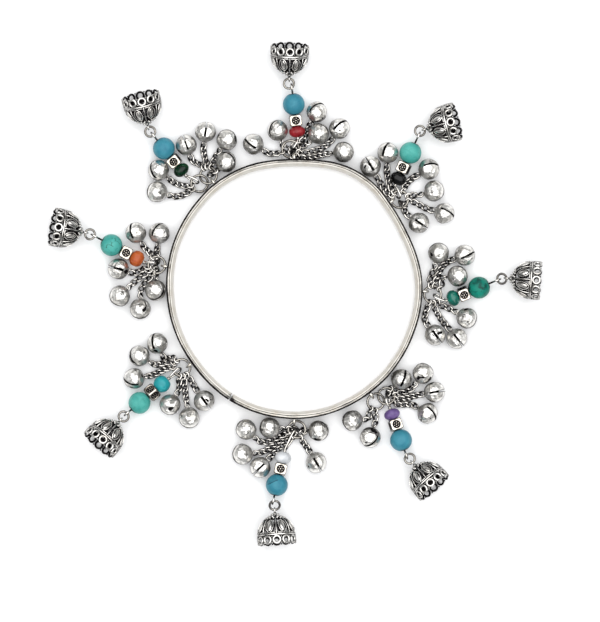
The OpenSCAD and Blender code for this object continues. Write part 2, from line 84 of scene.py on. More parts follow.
# Jingle bells and their chains
BELL_R, BELL_WALL = 2.75, 0.35
SLIT_W, SLIT_HOLE_R, SLIT_TOP = 0.4, 0.36, -0.3
LOOP_R, LOOP_WIRE = 0.5, 0.2
LOOP_OUT = BELL_R + LOOP_R - LOOP_WIRE
CHAIN_R, CHAIN_GAP, CHAIN_LOW, CHAIN_PULL = 0.5, 0.32, 0.3, 0.4
CHAIN_Z = CHAIN_R + 0.1
LINK_PITCH, LINK_WIRE, LINK_SIZES = 1.47, 0.28, (0.97, 1.03)
# How far the middles of a chain's first and last link lie inside its ends, and how far links roll
FIRST_LINK, LAST_LINK, LINK_ROLL = 0.4, 0.93, 9

# Beads
CLEAR = 0.1
STONE_R, STONE_HALF = 2.85, 2.76
CUBE_SIDE, CUBE_LEN = 3.1, 2.8
ACCENT_R, ACCENT_FACETS, ROUND_ACCENT = 2.2, 10, 6
DRILL_R = 0.42
CUBE_EDGE, CORNER_R = 0.3, CUBE_SIDE * 0.74
MEDALLION_R, MEDALLION_DEPTH = 1.1, 0.17
DOT_RING, DOT_R, MIDDLE_DOT_R, DOT_HIGH = 0.62, 0.17, 0.2, 0.16

# Filigree caps, from the mouth at 0 to the tip
MOUTH_R, CAP_H, RIM_RINGS, LEAVES = 4.95, 8.6, 12, 8
FILIGREE_WIRE = 0.25
BAND_AT = 2.6
DOME_BOTTOM, DOME_MID, DOME_TOP = (MOUTH_R - 0.15, BAND_AT), (MOUTH_R - 0.95, 5.4), (1.7, 7.2)
CAP_EYE_R, CAP_EYE_WIRE, CAP_EYE_AT = 0.7, 0.2, CAP_H + 0.35
# Wire of the mouth's rings, and of the ribs from foot to tip; the skin's wall, and how far from ribs
# and leaves its gaps start
RIM_RING_WIRE, RIB_WIRE, SHELL_WALL, PIERCED_FROM = 0.29, (0.15, 0.13), 0.35, 0.28
# Leaves of the domes: half width in mm, middle and half length as shares of the arc, wire, and how
# much of the width their plates take up
LEAF_W, LEAF_MID, LEAF_LONG, LEAF_WIRE, PLATE_SHARE = 0.98, 0.39, 0.32, 0.16, 0.6
# Tarnish added to the caps' parts: the skin under the wirework is black, what stands up is clean
SKIN_TARNISH, PLATE_TARNISH, WIREWORK_TARNISH, GRANULE_TARNISH = 0.8, -0.12, -0.5, -0.65

# Each cluster's bearings of its eye and jump ring, its stone bead's place, its pin's bearing and
# reach, the bearings of the way from the pin over a small ring to the cap, the cap's bearing and
# tilt, its cube's turn, its accent bead's length, and which jump ring the pin hangs on
Cluster = namedtuple("Cluster", "n eye hub stone_x stone_y pin reach to_ring to_cap cap tilt spin "
                     "accent ring")
CLUSTERS = [Cluster(n, *row) for n, row in enumerate([
    (90, 115, -0.1, 48.0, 97, 4.3, 125, 87, 89, 14, 0, 2.8, 1),
    (42, 15, 30.2, 35.4, 65, 4.9, 73, 16, 14, 12, -15, 3.2, 1),
    (359, -20, 48.0, 0.4, 22, 5.0, 18, 5, -4.5, 5, 15, 3.0, 1),
    (306, 306, 27.7, -39.2, -71, 4.1, -45, -56, -49, 12, -10, 2.7, 2),
    (270, 288, -4.5, -50.8, 257, 4.1, 285, 270, 274, 5, 0, 3.0, 1),
    (216, 198, -40.1, -29.5, 220, 4.1, 223, 227, 229, 12, 42, 3.7, 1),
    (170, 170, -47.4, 11.4, 152, 4.9, 159, 160, 170, 10, 0, 3.4, 1),
    (127, 127, -33.8, 36.5, 129, 4.3, 131, 115, 104, 14, -12, 2.9, 2),
], 1)]
# Second jump rings: cluster, middle, bearing of the low side
SECOND_RINGS = {4: ((24.0, -27.7, 1.56), 126), 8: ((-24.6, 27.45, 1.56), 307)}

# Each bell's cluster and place, its loop's bearing and lift, its roll, where its chain starts on
# which jump ring, how far inside that ring, and the pull of the chain's bends, where 0 is the usual
# share of its length
Bell = namedtuple("Bell", "cluster x y loop lift roll start ring under pull", defaults=(1, 0, 0))
BELLS = [Bell(n, *row) for n, rows in enumerate([
    [(-10.6, 37.6, -30, 25, 15, 200),
     (-4.3, 41.2, 290, 25, 60, -80, 1, 0.9, 0.8),
     (5.9, 46.0, 242, 25, 40, 32, 1, 0, 1.6),
     (6.3, 40.4, 222, 25, 90, 10, 1, 0.8, 1.0),
     (11.8, 41.7, 235, 30, 25, -18, 1, 0, 2.6),
     (12.8, 35.6, 185, 20, 70, -43, 1, 0, 2.2)],
    [(24.3, 35.4, 268, 25, 30, 132),
     (19.8, 31.9, 303, 30, 0, 158),
     (35.0, 31.2, 208, 25, 30, 70),
     (36.3, 25.5, 195, 15, 90, 22),
     (39.0, 19.7, 165, 30, 20, -8),
     (32.4, 17.2, 144, 30, 0, -55, 1, 0.8, 1.0)],
    [(37.5, 9.4, 255, 20, 90, 105),
     (44.3, 8.8, 200, 30, -10, 80),
     (42.4, 3.4, 185, 25, 80, 38, 1, 0, 0.9),
     (44.8, -7.5, 150, 20, 90, -55),
     (36.6, -11.9, 126, 30, 0, -112),
     (42.2, -12.8, 128, 30, 0, -83)],
    [(15.1, -34.1, 5, 20, 90, 235, 1, 0, 1.2),
     (19.7, -38.4, 70, 25, 40, 270),
     (27.8, -23.4, 240, 40, -15, 60, 2, 0.4, 0.6),
     (33.4, -21.9, 235, 15, 90, 12, 2),
     (36.4, -26.7, 190, 30, 0, -14, 2),
     (34.6, -32.2, 150, 25, 30, -42, 2)],
    [(-12.5, -36.4, -42, 20, 90, 203, 1, 0, 3.0),
     (-6.4, -36.0, -3, 25, 90, 170, 1, 0.4, 0.8),
     (-13.4, -42.8, 5, 20, 90, 206, 1, 2.27, 3.5),
     (-8.8, -46.2, 45, 30, 0, 245, 1, 1.3, 0),
     (6.3, -36.8, 176, 25, 80, -20, 1, 0.5, 0.5),
     (5.7, -45.0, 120, 30, 0, -65)],
    [(-35.5, -14.1, -66, 25, 30, 125),
     (-40.2, -17.3, -30, 20, 60, 152),
     (-41.5, -23.2, 10, 25, 40, 180),
     (-32.2, -29.9, 58, 15, 90, 258),
     (-27.2, -33.4, 100, 15, 90, 283),
     (-23.3, -29.0, 125, 30, 0, 308)],
    [(-41.1, 14.6, -60, 25, 30, 118),
     (-35.0, 14.5, 262, 25, 40, 85, 1, 0.9, 0.8),
     (-45.6, 5.2, -15, 30, 0, 196),
     (-45.2, -1.8, 45, 20, 90, 219),
     (-39.9, -5.1, 90, 20, 90, 243),
     (-36.0, -0.3, 88, 25, 60, 260, 1, 0.4, 0.8)],
    [(-28.0, 37.4, -70, 30, 0, 125),
     (-23.0, 40.8, 262, 30, 0, 100),
     (-17.5, 38.7, 235, 20, 90, 72),
     (-17.7, 33.05, 222, 40, 90, 30, 1, 0.6, 0.4),
     (-35.2, 30.8, -38, 25, 50, 195, 2),
     (-35.6, 25.2, -14, 20, 90, 222, 2)],
], 1) for row in rows]


# Directions and places

def unit(v):
    return v / np.linalg.norm(v)


def heading(bearing, lift=0.0):
    """A direction from its bearing and its lift above the surface, in degrees."""
    b, l = math.radians(bearing), math.radians(lift)
    return np.array([math.cos(b) * math.cos(l), math.sin(b) * math.cos(l), math.sin(l)])


def bearing_of(v):
    return math.degrees(math.atan2(v[1], v[0]))


def rotation(degrees, axis):
    return Matrix.Rotation(math.radians(degrees), 4, axis)


def pose(place, spin, lift):
    """A piece's place: its own Z axis leans over by lift and is then turned to the bearing spin."""
    return Matrix.Translation(Vector(place)) @ rotation(spin, "Z") @ rotation(lift, "Y")


def outline_arcs():
    """The band's outline as tangent arcs: middle, radius, start and end of each."""
    points = [distance * heading(bearing)[:2] for bearing, distance in OUTLINE]
    tangents = []
    for before, here, after in zip(points[-1:] + points, points, points[1:] + points):
        before, after = here - before, after - here
        tangents.append(unit(before / (before @ before) + after / (after @ after)))
    arcs = []
    for p, q, tp, tq in zip(points, points[1:] + points, tangents, tangents[1:] + tangents):
        v, t, k = q - p, tp + tq, 1 - tp @ tq
        d = (-(v @ t) + math.sqrt((v @ t) ** 2 + 2 * k * (v @ v))) / (2 * k)
        m = (p + d * tp + q - d * tq) / 2
        for at, tangent, other, start, end in ((p, tp, m, p, m), (q, tq, m, m, q)):
            normal = np.array([-tangent[1], tangent[0]])
            w = other - at
            r = (w @ w) / (2 * (normal @ w))
            arcs.append((at + normal * r, r, start, end))
    return arcs


ARCS = outline_arcs()


def arc_at(bearing):
    """The arc of the outline that a bearing meets."""
    for arc in ARCS:
        sweep = (bearing_of(arc[3]) - bearing_of(arc[2])) % 360
        if (bearing - bearing_of(arc[2])) % 360 <= sweep:
            return arc


def reach(bearing):
    """The rim edge's distance from the middle at a bearing."""
    middle, r = arc_at(bearing)[:2]
    along = heading(bearing)[:2] @ middle
    return along + math.sqrt(along ** 2 - middle @ middle + r ** 2)


def eye_middle(c):
    return (reach(c.eye) + EYE_OUT) * heading(c.eye) + np.array([0, 0, MID_H])


def hub_slope(c):
    return RING_TWIST if c.n in SECOND_RINGS else 0


def ring_middle(c, which=1):
    """The middle of a cluster's first or second jump ring."""
    if which == 2:
        return np.array(SECOND_RINGS[c.n][0])
    slope = math.radians(hub_slope(c))
    flat = (reach(c.eye) + HUB_OUT) * heading(c.eye) + HUB_R * math.cos(slope) * heading(c.hub)
    return flat + np.array([0, 0, MID_H - HUB_R * math.sin(slope)])


def pin_point(c, along):
    """A point on a drop's pin, from the stone bead's middle outward."""
    return np.array([c.stone_x, c.stone_y, STONE_R]) + along * heading(c.pin, PIN_LIFT)


def pin_pose(c, along):
    return pose(pin_point(c, along), c.pin, 90 - PIN_LIFT)


CUBE_AT = -(STONE_HALF + CUBE_LEN / 2 + CLEAR)


def accent_at(c):
    return CUBE_AT - (CUBE_LEN + c.accent) / 2 - CLEAR


def pin_start(c):
    return accent_at(c) - c.accent / 2 - 2 * CLEAR - PIN_WIRE


def circle_middle(*points):
    """The middle of the circle through three points."""
    a, b, c = map(np.array, points)
    return np.linalg.solve(2 * np.array([b - a, c - a]), [b @ b - a @ a, c @ c - a @ a])


DOME_C = circle_middle(DOME_BOTTOM, DOME_MID, DOME_TOP)
DOME_R = math.dist(DOME_BOTTOM, DOME_C)


def dome_angle(point):
    return math.atan2(point[1] - DOME_C[1], point[0] - DOME_C[0])


def cap_eye_z(c):
    """How high a cap's eye is when the cap lies on the edge of its mouth."""
    x, z = math.cos(math.radians(c.tilt)), math.sin(math.radians(c.tilt))
    mouth = max((MOUTH_R + 0.15) * x + BAND_AT / 2 * z, (MOUTH_R + 0.05) * x + BAND_AT * z,
                DOME_C[0] * x + DOME_C[1] * z + DOME_R + FILIGREE_WIRE)
    return mouth - CAP_EYE_AT * z


def cap_ring_middle(c):
    p = pin_point(c, c.reach)
    flat = p + LINK_R * heading(c.to_ring)
    return np.array([flat[0], flat[1], (p[2] + cap_eye_z(c)) / 2])


def cap_eye_point(c):
    flat = cap_ring_middle(c) + LINK_R * heading(c.to_cap)
    return np.array([flat[0], flat[1], cap_eye_z(c)])


def cap_pose(c):
    return pose(cap_eye_point(c), c.cap, -90 - c.tilt) @ Matrix.Translation((0, 0, -CAP_EYE_AT))


def bell_pose(bell):
    return pose((bell.x, bell.y, BELL_R), bell.loop, 90 + bell.lift) @ rotation(bell.roll, "Z")


# Node trees: shader and shape sums are written as expressions

class Value:
    """A node's output. Sums, products and comparisons of values add the nodes that work them out."""

    def __init__(self, nodes, socket):
        self.nodes = nodes
        self.socket = socket

    def __getitem__(self, output):
        return Value(self.nodes, self.socket.node.outputs[output])

    def worked_out(self, operation, *others):
        return self.nodes.add("ShaderNodeMath", dict(enumerate((self, *others))), operation=operation)

    __add__ = partialmethod(worked_out, "ADD")
    __sub__ = partialmethod(worked_out, "SUBTRACT")
    __mul__ = partialmethod(worked_out, "MULTIPLY")
    __abs__ = partialmethod(worked_out, "ABSOLUTE")
    most = partialmethod(worked_out, "MAXIMUM")
    least = partialmethod(worked_out, "MINIMUM")

    def rise(self, low, high):
        """0 below low, 1 above high, and a smooth step between. Low above high turns it round."""
        return self.nodes.add("ShaderNodeMapRange", {"Value": self, "From Min": low, "From Max": high},
                              interpolation_type="SMOOTHSTEP")


class Nodes:
    """Adds nodes to one tree, each with the value or link of its inputs, and its settings by name."""

    def __init__(self, tree):
        self.tree = tree

    def add(self, kind, inputs=None, **settings):
        node = self.tree.nodes.new(kind)
        for name, value in settings.items():
            setattr(node, name, value)
        for name, value in (inputs or {}).items():
            self.feed(node.inputs[name], value)
        return Value(self, node.outputs[0])

    def vectors(self, operation, where, other):
        return self.add("ShaderNodeVectorMath",
                        {0: where, "Scale" if operation == "SCALE" else 1: other}, operation=operation)

    def feed(self, socket, value):
        if isinstance(value, Value):
            self.tree.links.new(value.socket, socket)
        elif value is not None:
            socket.default_value = value


# Sockets of the Mix node when it mixes colours
MIX_A, MIX_B, MIX_RESULT = 6, 7, 2


class Finish(Nodes):
    """One procedural surface finish, built on a Principled shader."""

    def __init__(self, name, constants):
        self.material = bpy.data.materials.new(name)
        self.material.use_nodes = True
        super().__init__(self.material.node_tree)
        self.shader = self.tree.nodes["Principled BSDF"]
        for key, value in constants.items():
            self.shader.inputs[key].default_value = value

    def set(self, name, value):
        self.feed(self.shader.inputs[name], value)

    def place(self):
        """The point on the piece, in millimetres."""
        return self.vectors("SCALE", self.add("ShaderNodeTexCoord")["Object"], 1 / MM)

    def warped(self, where, far):
        """The place, pushed about by a coarse noise."""
        push = self.add("ShaderNodeTexNoise", {"Vector": where, "Scale": 0.8})["Color"]
        return self.vectors("ADD", where, self.vectors("SCALE", push, far))

    def attribute(self, name):
        return self.add("ShaderNodeAttribute", attribute_name=name)

    def noise(self, where, scale, detail=2.0, roughness=0.5, distortion=0.0):
        return self.add("ShaderNodeTexNoise", {"Vector": where, "Scale": scale, "Detail": detail,
                                               "Roughness": roughness, "Distortion": distortion})

    def cells(self, where, scale, feature="F1"):
        return self.add("ShaderNodeTexVoronoi", {"Vector": where, "Scale": scale}, feature=feature)

    def mix(self, factor, a, b):
        a, b = (c if isinstance(c, Value) else (*c, 1.0) for c in (a, b))
        return self.add("ShaderNodeMix", {0: factor, MIX_A: a, MIX_B: b}, data_type="RGBA")[MIX_RESULT]

    def split(self, vector):
        parts = self.add("ShaderNodeSeparateXYZ", {0: vector})
        return parts["X"], parts["Y"], parts["Z"]

    def bump(self, height, depth):
        """Relief of that depth in millimetres, where height runs from 0 to 1."""
        self.set("Normal", self.add("ShaderNodeBump", {
            "Height": height, "Distance": depth * MM, "Strength": 1.0})["Normal"])


class Former(Nodes):
    """A Geometry Nodes tree with named inputs. It is worked out once, into a plain mesh."""

    def __init__(self, name, **inputs):
        tree = bpy.data.node_groups.new(name, "GeometryNodeTree")
        super().__init__(tree)
        self.socket("Geometry", "Geometry", "INPUT")
        self.socket("Geometry", "Geometry", "OUTPUT")
        self.ids = {key: self.socket(key.title(), kind, "INPUT") for key, kind in inputs.items()}
        self.group = tree.nodes.new("NodeGroupInput")

    def socket(self, name, kind, way):
        sockets = self.tree.interface
        return sockets.new_socket(name, in_out=way, socket_type="NodeSocket" + kind).identifier

    def given(self, key):
        return Value(self, self.group.outputs[key.title()])

    def ends_in(self, geometry):
        """Realizes what the tree has made, gives it its material and joins it to the output."""
        real = self.add("GeometryNodeRealizeInstances", {"Geometry": geometry})
        done = self.add("GeometryNodeSetMaterial", {"Geometry": real, "Material": self.given("material")})
        self.feed(self.tree.nodes.new("NodeGroupOutput").inputs["Geometry"], done)

    def form(self, name, base=None, **values):
        """The mesh that the tree makes from a base mesh and the values of its inputs."""
        holder = put_in(name, base or bpy.data.meshes.new(name))
        modifier = holder.modifiers.new(name, "NODES")
        modifier.node_group = self.tree
        for key, value in values.items():
            modifier[self.ids[key]] = value
        depsgraph = bpy.context.evaluated_depsgraph_get()
        made = bpy.data.meshes.new_from_object(holder.evaluated_get(depsgraph), depsgraph=depsgraph)
        made.name = name
        bpy.data.objects.remove(holder)
        return made


# Mesh building

def put_in(name, data):
    """An object in the scene."""
    made = bpy.data.objects.new(name, data)
    bpy.context.scene.collection.objects.link(made)
    return made


def read(items, key, width=1):
    """What a mesh's items hold under a key, with a row for each item."""
    values = np.zeros(len(items) * width, np.float32)
    items.foreach_get(key, values)
    return values.reshape(-1, width) if width > 1 else values


def keep(mesh, name, values):
    """Keeps a number or a vector for each vertex, under a name by which finishes and Formers find it."""
    values = np.asarray(values, np.float32)
    kind, key = ("FLOAT_VECTOR", "vector") if values.ndim > 1 else ("FLOAT", "value")
    mesh.attributes.new(name, kind, "POINT").data.foreach_set(key, values.ravel())


class Stock:
    """Vertices and faces gathered from several shapes, with how tarnished each vertex is."""

    def __init__(self):
        self.vertices, self.faces, self.patina, self.count = [], [], [], 0

    def add(self, shape, place=None, patina=0.0):
        vertices, faces = shape
        vertices = np.asarray(vertices, float)
        if place is not None:
            m = np.array(place)
            vertices = vertices @ m[:3, :3].T + m[:3, 3]
        self.vertices.append(vertices)
        self.faces += [[i + self.count for i in face] for face in faces]
        self.patina.append(np.broadcast_to(np.asarray(patina, float), (len(vertices),)))
        self.count += len(vertices)
        return self

    def mesh(self, name):
        mesh = bpy.data.meshes.new(name)
        mesh.from_pydata(np.concatenate(self.vertices).tolist(), [], self.faces)
        mesh.update()
        keep(mesh, "patina", np.concatenate(self.patina))
        return mesh


def remember_place(mesh):
    """Keeps each vertex's place in the shape's own frame, so that its finish can follow the shape."""
    keep(mesh, "own", read(mesh.vertices, "co", 3))
    return mesh


def around(steps):
    """Angles of a full turn in equal steps."""
    return np.linspace(0, 2 * math.pi, steps, endpoint=False)


def spun(r, a, z):
    """The point at a distance from Z, an angle round it and a height."""
    return [r * math.cos(a), r * math.sin(a), z]


def grid(columns, rows, closed, looped=False):
    """Faces of a net of points laid row by row. A row can close on itself, and the last one can
    meet the first."""
    faces = []
    for i in range(rows if looped else rows - 1):
        here, there = i * columns, (i + 1) % rows * columns
        for k in range(columns if closed else columns - 1):
            m = (k + 1) % columns
            faces.append([here + k, here + m, there + m, there + k])
    return faces


def turned_over(faces, shift=0):
    """Faces of four corners that look the other way."""
    return [[a + shift, d + shift, c + shift, b + shift] for a, b, c, d in faces]


def wire(path, radius, sides=10, closed=False):
    """A round wire along a path. The radius is one number, or one for each point of the path."""
    path = np.asarray(path, float)
    count = len(path)
    radius = np.broadcast_to(np.asarray(radius, float), (count,))
    along = np.roll(path, -1, 0) - np.roll(path, 1, 0) if closed else np.gradient(path, axis=0)
    along /= np.linalg.norm(along, axis=1)[:, None]
    side = np.cross(along[0], [0.0, 0.0, 1.0] if abs(along[0][2]) < 0.9 else [1.0, 0.0, 0.0])
    sides_at = []
    for t in along:
        side = unit(side - (side @ t) * t)
        sides_at.append(side)
    sides_at = np.array(sides_at)
    slip = 0.0
    if closed:
        last = unit(sides_at[-1] - (sides_at[-1] @ along[0]) * along[0])
        slip = math.atan2(np.cross(last, sides_at[0]) @ along[0], last @ sides_at[0])
    ups = np.cross(along, sides_at)
    vertices = []
    for i in range(count):
        a = around(sides) + slip * i / count
        rim = np.outer(np.cos(a), sides_at[i]) + np.outer(np.sin(a), ups[i])
        vertices.append(path[i] + radius[i] * rim)
    faces = grid(sides, count, True, closed)
    if not closed:
        faces += [list(range(sides))[::-1], [(count - 1) * sides + k for k in range(sides)]]
    return np.concatenate(vertices), faces


def round_path(middle, radius, first, second, start=0.0, sweep=360.0, steps=32):
    """Points on a circle, or on a part of one, in the plane of two directions."""
    full = abs(sweep) >= 360
    t = np.radians(start + np.linspace(0, sweep, steps, endpoint=not full))
    return np.asarray(middle) + radius * (np.outer(np.cos(t), first) + np.outer(np.sin(t), second))


def ring(middle, radius, first, second, gauge, sides, steps):
    """A closed ring of round wire in the plane of two directions."""
    return wire(round_path(middle, radius, first, second, steps=steps), gauge, sides, closed=True)


def ball(radius, steps=10, squash=(1.0, 1.0, 1.0)):
    """A closed ball with poles on Z."""
    rows = steps // 2 + 1
    vertices = [[0, 0, 1]]
    for i in range(1, rows):
        lat = math.pi / 2 - math.pi * i / rows
        vertices += [spun(math.cos(lat), a, math.sin(lat)) for a in around(steps)]
    vertices.append([0, 0, -1])
    low, last = 1 + (rows - 2) * steps, len(vertices) - 1
    faces = [[0, 1 + k, 1 + (k + 1) % steps] for k in range(steps)]
    faces += turned_over(grid(steps, rows - 1, True), 1)
    faces += [[last, low + (k + 1) % steps, low + k] for k in range(steps)]
    return radius * np.array(vertices) * np.array(squash), faces


def turned(profile, steps):
    """A closed profile of radius and height, turned round Z."""
    vertices = [spun(r, a, z) for a in around(steps) for r, z in profile]
    return np.array(vertices), turned_over(grid(len(profile), steps, True, True))


def finish_piece(name, mesh, material, nodes, sharp=40.0):
    """Puts a mesh made in millimetres into metres and makes it the piece that shows for those nodes."""
    # How far each vertex faces away from straight up. The silver finishes paint shade by it: the sides
    # darker, the tops lighter, as if lit from above
    keep(mesh, "flank", np.clip(1 - read(mesh.vertex_normals, "vector", 3)[:, 2], 0, 1))
    mesh.transform(Matrix.Scale(MM, 4))
    mesh.materials.clear()
    mesh.materials.append(material)
    mesh.shade_smooth()
    mesh.set_sharp_from_angle(angle=math.radians(sharp))
    mesh.update()
    piece = put_in(name, mesh)
    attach(piece, "root")
    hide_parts(*nodes)


def points_mesh(name, places, sizes=None):
    """One vertex for each place, with its turn and size as attributes for a Former to read."""
    mesh = bpy.data.meshes.new(name)
    mesh.from_pydata([tuple(m.translation) for m in places], [], [])
    keep(mesh, "turn", [m.to_euler("XYZ") for m in places])
    keep(mesh, "size", sizes or [1.0] * len(places))
    return mesh


def darken(mesh, amounts):
    """Adds to the tarnish of each vertex, which ends up between 0 and 1."""
    patina = mesh.attributes["patina"].data
    patina.foreach_set("value", np.clip(read(patina, "value") + amounts, 0, 1))
    return mesh


@contextmanager
def opened(mesh):
    """A mesh opened for editing, and closed again afterwards."""
    form = bmesh.new()
    form.from_mesh(mesh)
    yield form
    form.to_mesh(mesh)
    form.free()
    mesh.update()


def weld(mesh, near=1e-4):
    """Joins the vertices that stand at one place."""
    with opened(mesh) as form:
        bmesh.ops.remove_doubles(form, verts=form.verts, dist=near)
        bmesh.ops.dissolve_degenerate(form, edges=form.edges, dist=near)
        bmesh.ops.recalc_face_normals(form, faces=form.faces)


# Shapes

def crevices(mesh, far, seek=20):
    """Adds to each vertex how closed in it is. Dark tarnish stays where a polishing cloth can't reach."""
    grazing, clear_of_it = 0.15, 0.02
    tree = BVHTree.FromPolygons([v.co for v in mesh.vertices], [p.vertices for p in mesh.polygons])
    steps = np.arange(seek) + 0.5
    height, turn = 1 - 2 * steps / seek, steps * math.pi * (3 - math.sqrt(5))
    flat = np.sqrt(1 - height ** 2)
    looks = [Vector(d) for d in zip(flat * np.cos(turn), flat * np.sin(turn), height)]
    closed = []
    for vertex in mesh.vertices:
        out = [d for d in looks if d.dot(vertex.normal) > grazing]
        start = vertex.co + vertex.normal * clear_of_it
        hits = sum(1 for d in out if tree.ray_cast(start, d, far)[0])
        closed.append(hits / max(len(out), 1))
    return darken(mesh, np.array(closed, np.float32))


def blacken_inside(mesh, below, amount):
    """Adds dark to what faces a hollow piece's own axis, up to a height: partly the patina inside, partly
    painted shade of the hollow.
    """
    facing, place = read(mesh.vertex_normals, "vector", 3), read(mesh.vertices, "co", 3)
    out = place[:, :2] / np.maximum(np.linalg.norm(place[:, :2], axis=1), 0.01)[:, None]
    inward = np.clip(-(facing[:, :2] * out).sum(axis=1) - 0.05, 0, 1) * (place[:, 2] < below)
    return darken(mesh, amount * inward)


def hollow(outer, inner, faces):
    """A shell: its outer faces, the same faces inside, and a wall along the edge of each opening."""
    count = len(outer)
    edges = {(a, b) for face in faces for a, b in zip(face, face[1:] + face[:1])}
    walls = [[b, a, a + count, b + count] for a, b in edges if (b, a) not in edges]
    everything = faces + [[i + count for i in reversed(face)] for face in faces] + walls
    vertices = np.concatenate([outer, inner])
    used = sorted({i for face in everything for i in face})
    place = {old: new for new, old in enumerate(used)}
    return vertices[used], [[place[i] for i in face] for face in everything]


def band_mesh():
    """The strip's rounded section swept along the outline from one side of the seam to the other."""
    # Section: distance outward from the rim edge, height. The grime sits in the channel and the rim's groove
    section = [
        (0.2, 1.0), (0.2, 3.4), (0.45, 3.55), (0.45, 3.95), (0.4, 4.12), (0.12, 4.36), (0.0, 4.4),
        (-0.3, 4.4), (-0.36, 4.34), (-0.43, 4.34), (-0.49, 4.39), (-0.75, 4.36), (-1.02, 4.02), (-1.22, 3.62),
        (-1.37, 3.15), (-1.46, 2.7), (-1.5, 2.2), (-1.46, 1.7), (-1.37, 1.25), (-1.22, 0.78), (-1.02, 0.38),
        (-0.75, 0.04), (-0.4, 0.0), (0.0, 0.0), (0.12, 0.04), (0.4, 0.28), (0.45, 0.45), (0.45, 0.85),
    ]
    grime = [0.4, 0.4, 0.45, 0.5, 0.65, 0.65, 0.1, 0.0, 0.7, 0.7, 0.0] + [0.0] * 15 + [0.3, 0.4]
    count, stations = len(section), 360
    half_gap = math.degrees(SEAM_GAP / 2 / reach(SEAM_BEARING))
    vertices, marks = [], []
    for i in range(stations):
        bearing = SEAM_BEARING + half_gap + (360 - 2 * half_gap) * i / (stations - 1)
        middle = arc_at(bearing)[0]
        edge = reach(bearing) * heading(bearing)[:2]
        out = unit(edge - middle)
        b = math.radians(bearing)
        # Hand bending leaves the outer face and the rims a little uneven
        sway = 0.03 * math.sin(9 * b + 1) + 0.02 * math.sin(23 * b)
        dip = 0.025 * math.sin(14 * b + 2)
        for k, (u, z) in enumerate(section):
            away = u + sway * (1 if u < 0.3 else 0.4)
            vertices.append([*(edge + away * out), z + (dip if 0.2 < z < 4.38 else 0.0)])
            marks.append(grime[k] * (0.75 + 0.25 * math.sin(5 * b + k)))
    faces = [[b, c, d, a] for a, b, c, d in grid(count, stations, True)]
    faces += [list(range(count)), [(stations - 1) * count + k for k in range(count)][::-1]]
    stock = Stock().add((vertices, faces), patina=marks)
    for c in CLUSTERS:
        out = heading(c.eye)
        stock.add(ring(eye_middle(c), EYE_R, out, [0, 0, 1], EYE_WIRE, 12, 36))
        foot = eye_middle(c) - (EYE_R + 0.1) * out
        stock.add(ball(0.5, 12, (0.6, 0.9, 1.3)), pose(foot, c.eye, 0), patina=0.2)
    return stock.mesh("band")


def jump_ring(r, gauge, steps):
    """A ring bent from round wire, its two ends cut flat and closed to a hair's gap."""
    return wire(round_path([0, 0, 0], r, [1, 0, 0], [0, 1, 0], start=2, sweep=356, steps=steps), gauge, 12)


def curb_link():
    """One link of curb chain: an oval of wire with a half twist each way, so that it lies flat in the row."""
    t = around(18)
    return wire(np.c_[1.02 * np.cos(t), 0.62 * np.sin(t), 0.29 * np.sin(2 * t)], LINK_WIRE, 8, closed=True)


def bell_shell():
    """A hollow ball made of two raised halves, cut through by a slit that ends in two round holes."""
    rows, columns = 25, 52
    slit, hole = math.asin(SLIT_W / 2 / BELL_R), math.asin(SLIT_HOLE_R / BELL_R)
    hole_at = math.atan2(SLIT_TOP, math.sqrt(BELL_R ** 2 - SLIT_TOP ** 2))
    holes = [np.array([side * math.cos(hole_at), 0, math.sin(hole_at)]) for side in (-1, 1)]
    high = np.linspace(slit, math.pi / 2, (rows + 1) // 2)
    lats = np.concatenate([-high[::-1], high])
    points = []
    for lat in lats:
        r, y = math.cos(lat), math.sin(lat)
        for k in range(columns):
            lon = math.pi / 2 + 2 * math.pi * (k + 0.5) / columns
            p = BELL_R * np.array([r * math.cos(lon), y, r * math.sin(lon)])
            # Points near a hole are drawn to its edge
            for middle in holes:
                gap = p / BELL_R - middle
                far = np.linalg.norm(gap)
                if hole * 0.55 < far < hole * 1.5:
                    p = BELL_R * unit(middle + gap / far * hole)
            points.append(p)
    points = np.array(points)
    faces = []
    for face in grid(columns, len(lats), True):
        corners = points[face]
        p = corners.mean(axis=0)
        from_hole = min(np.linalg.norm(unit(p) - middle) for middle in holes)
        if from_hole < hole * 0.9 or (abs(p[1]) < SLIT_W * 0.45 and p[2] < SLIT_TOP):
            continue
        # A face at a pole has only three corners
        if np.linalg.norm(corners[0] - corners[1]) < 1e-6:
            face = face[1:]
        elif np.linalg.norm(corners[2] - corners[3]) < 1e-6:
            face = face[:3]
        faces.append(face[::-1])
    return hollow(points, points * (1 - BELL_WALL / BELL_R), faces)


def bell_mesh():
    stock = Stock().add(bell_shell())
    stock.add(ring([0, 0, LOOP_OUT], LOOP_R, [1, 0, 0], [0, 0, 1], LOOP_WIRE, 9, 22))
    stock.add(ball(0.42, 10, (1.0, 1.0, 0.4)), Matrix.Translation((0, 0, BELL_R)))
    mesh = stock.mesh("bell")
    weld(mesh)
    return remember_place(crevices(mesh, far=7.0))


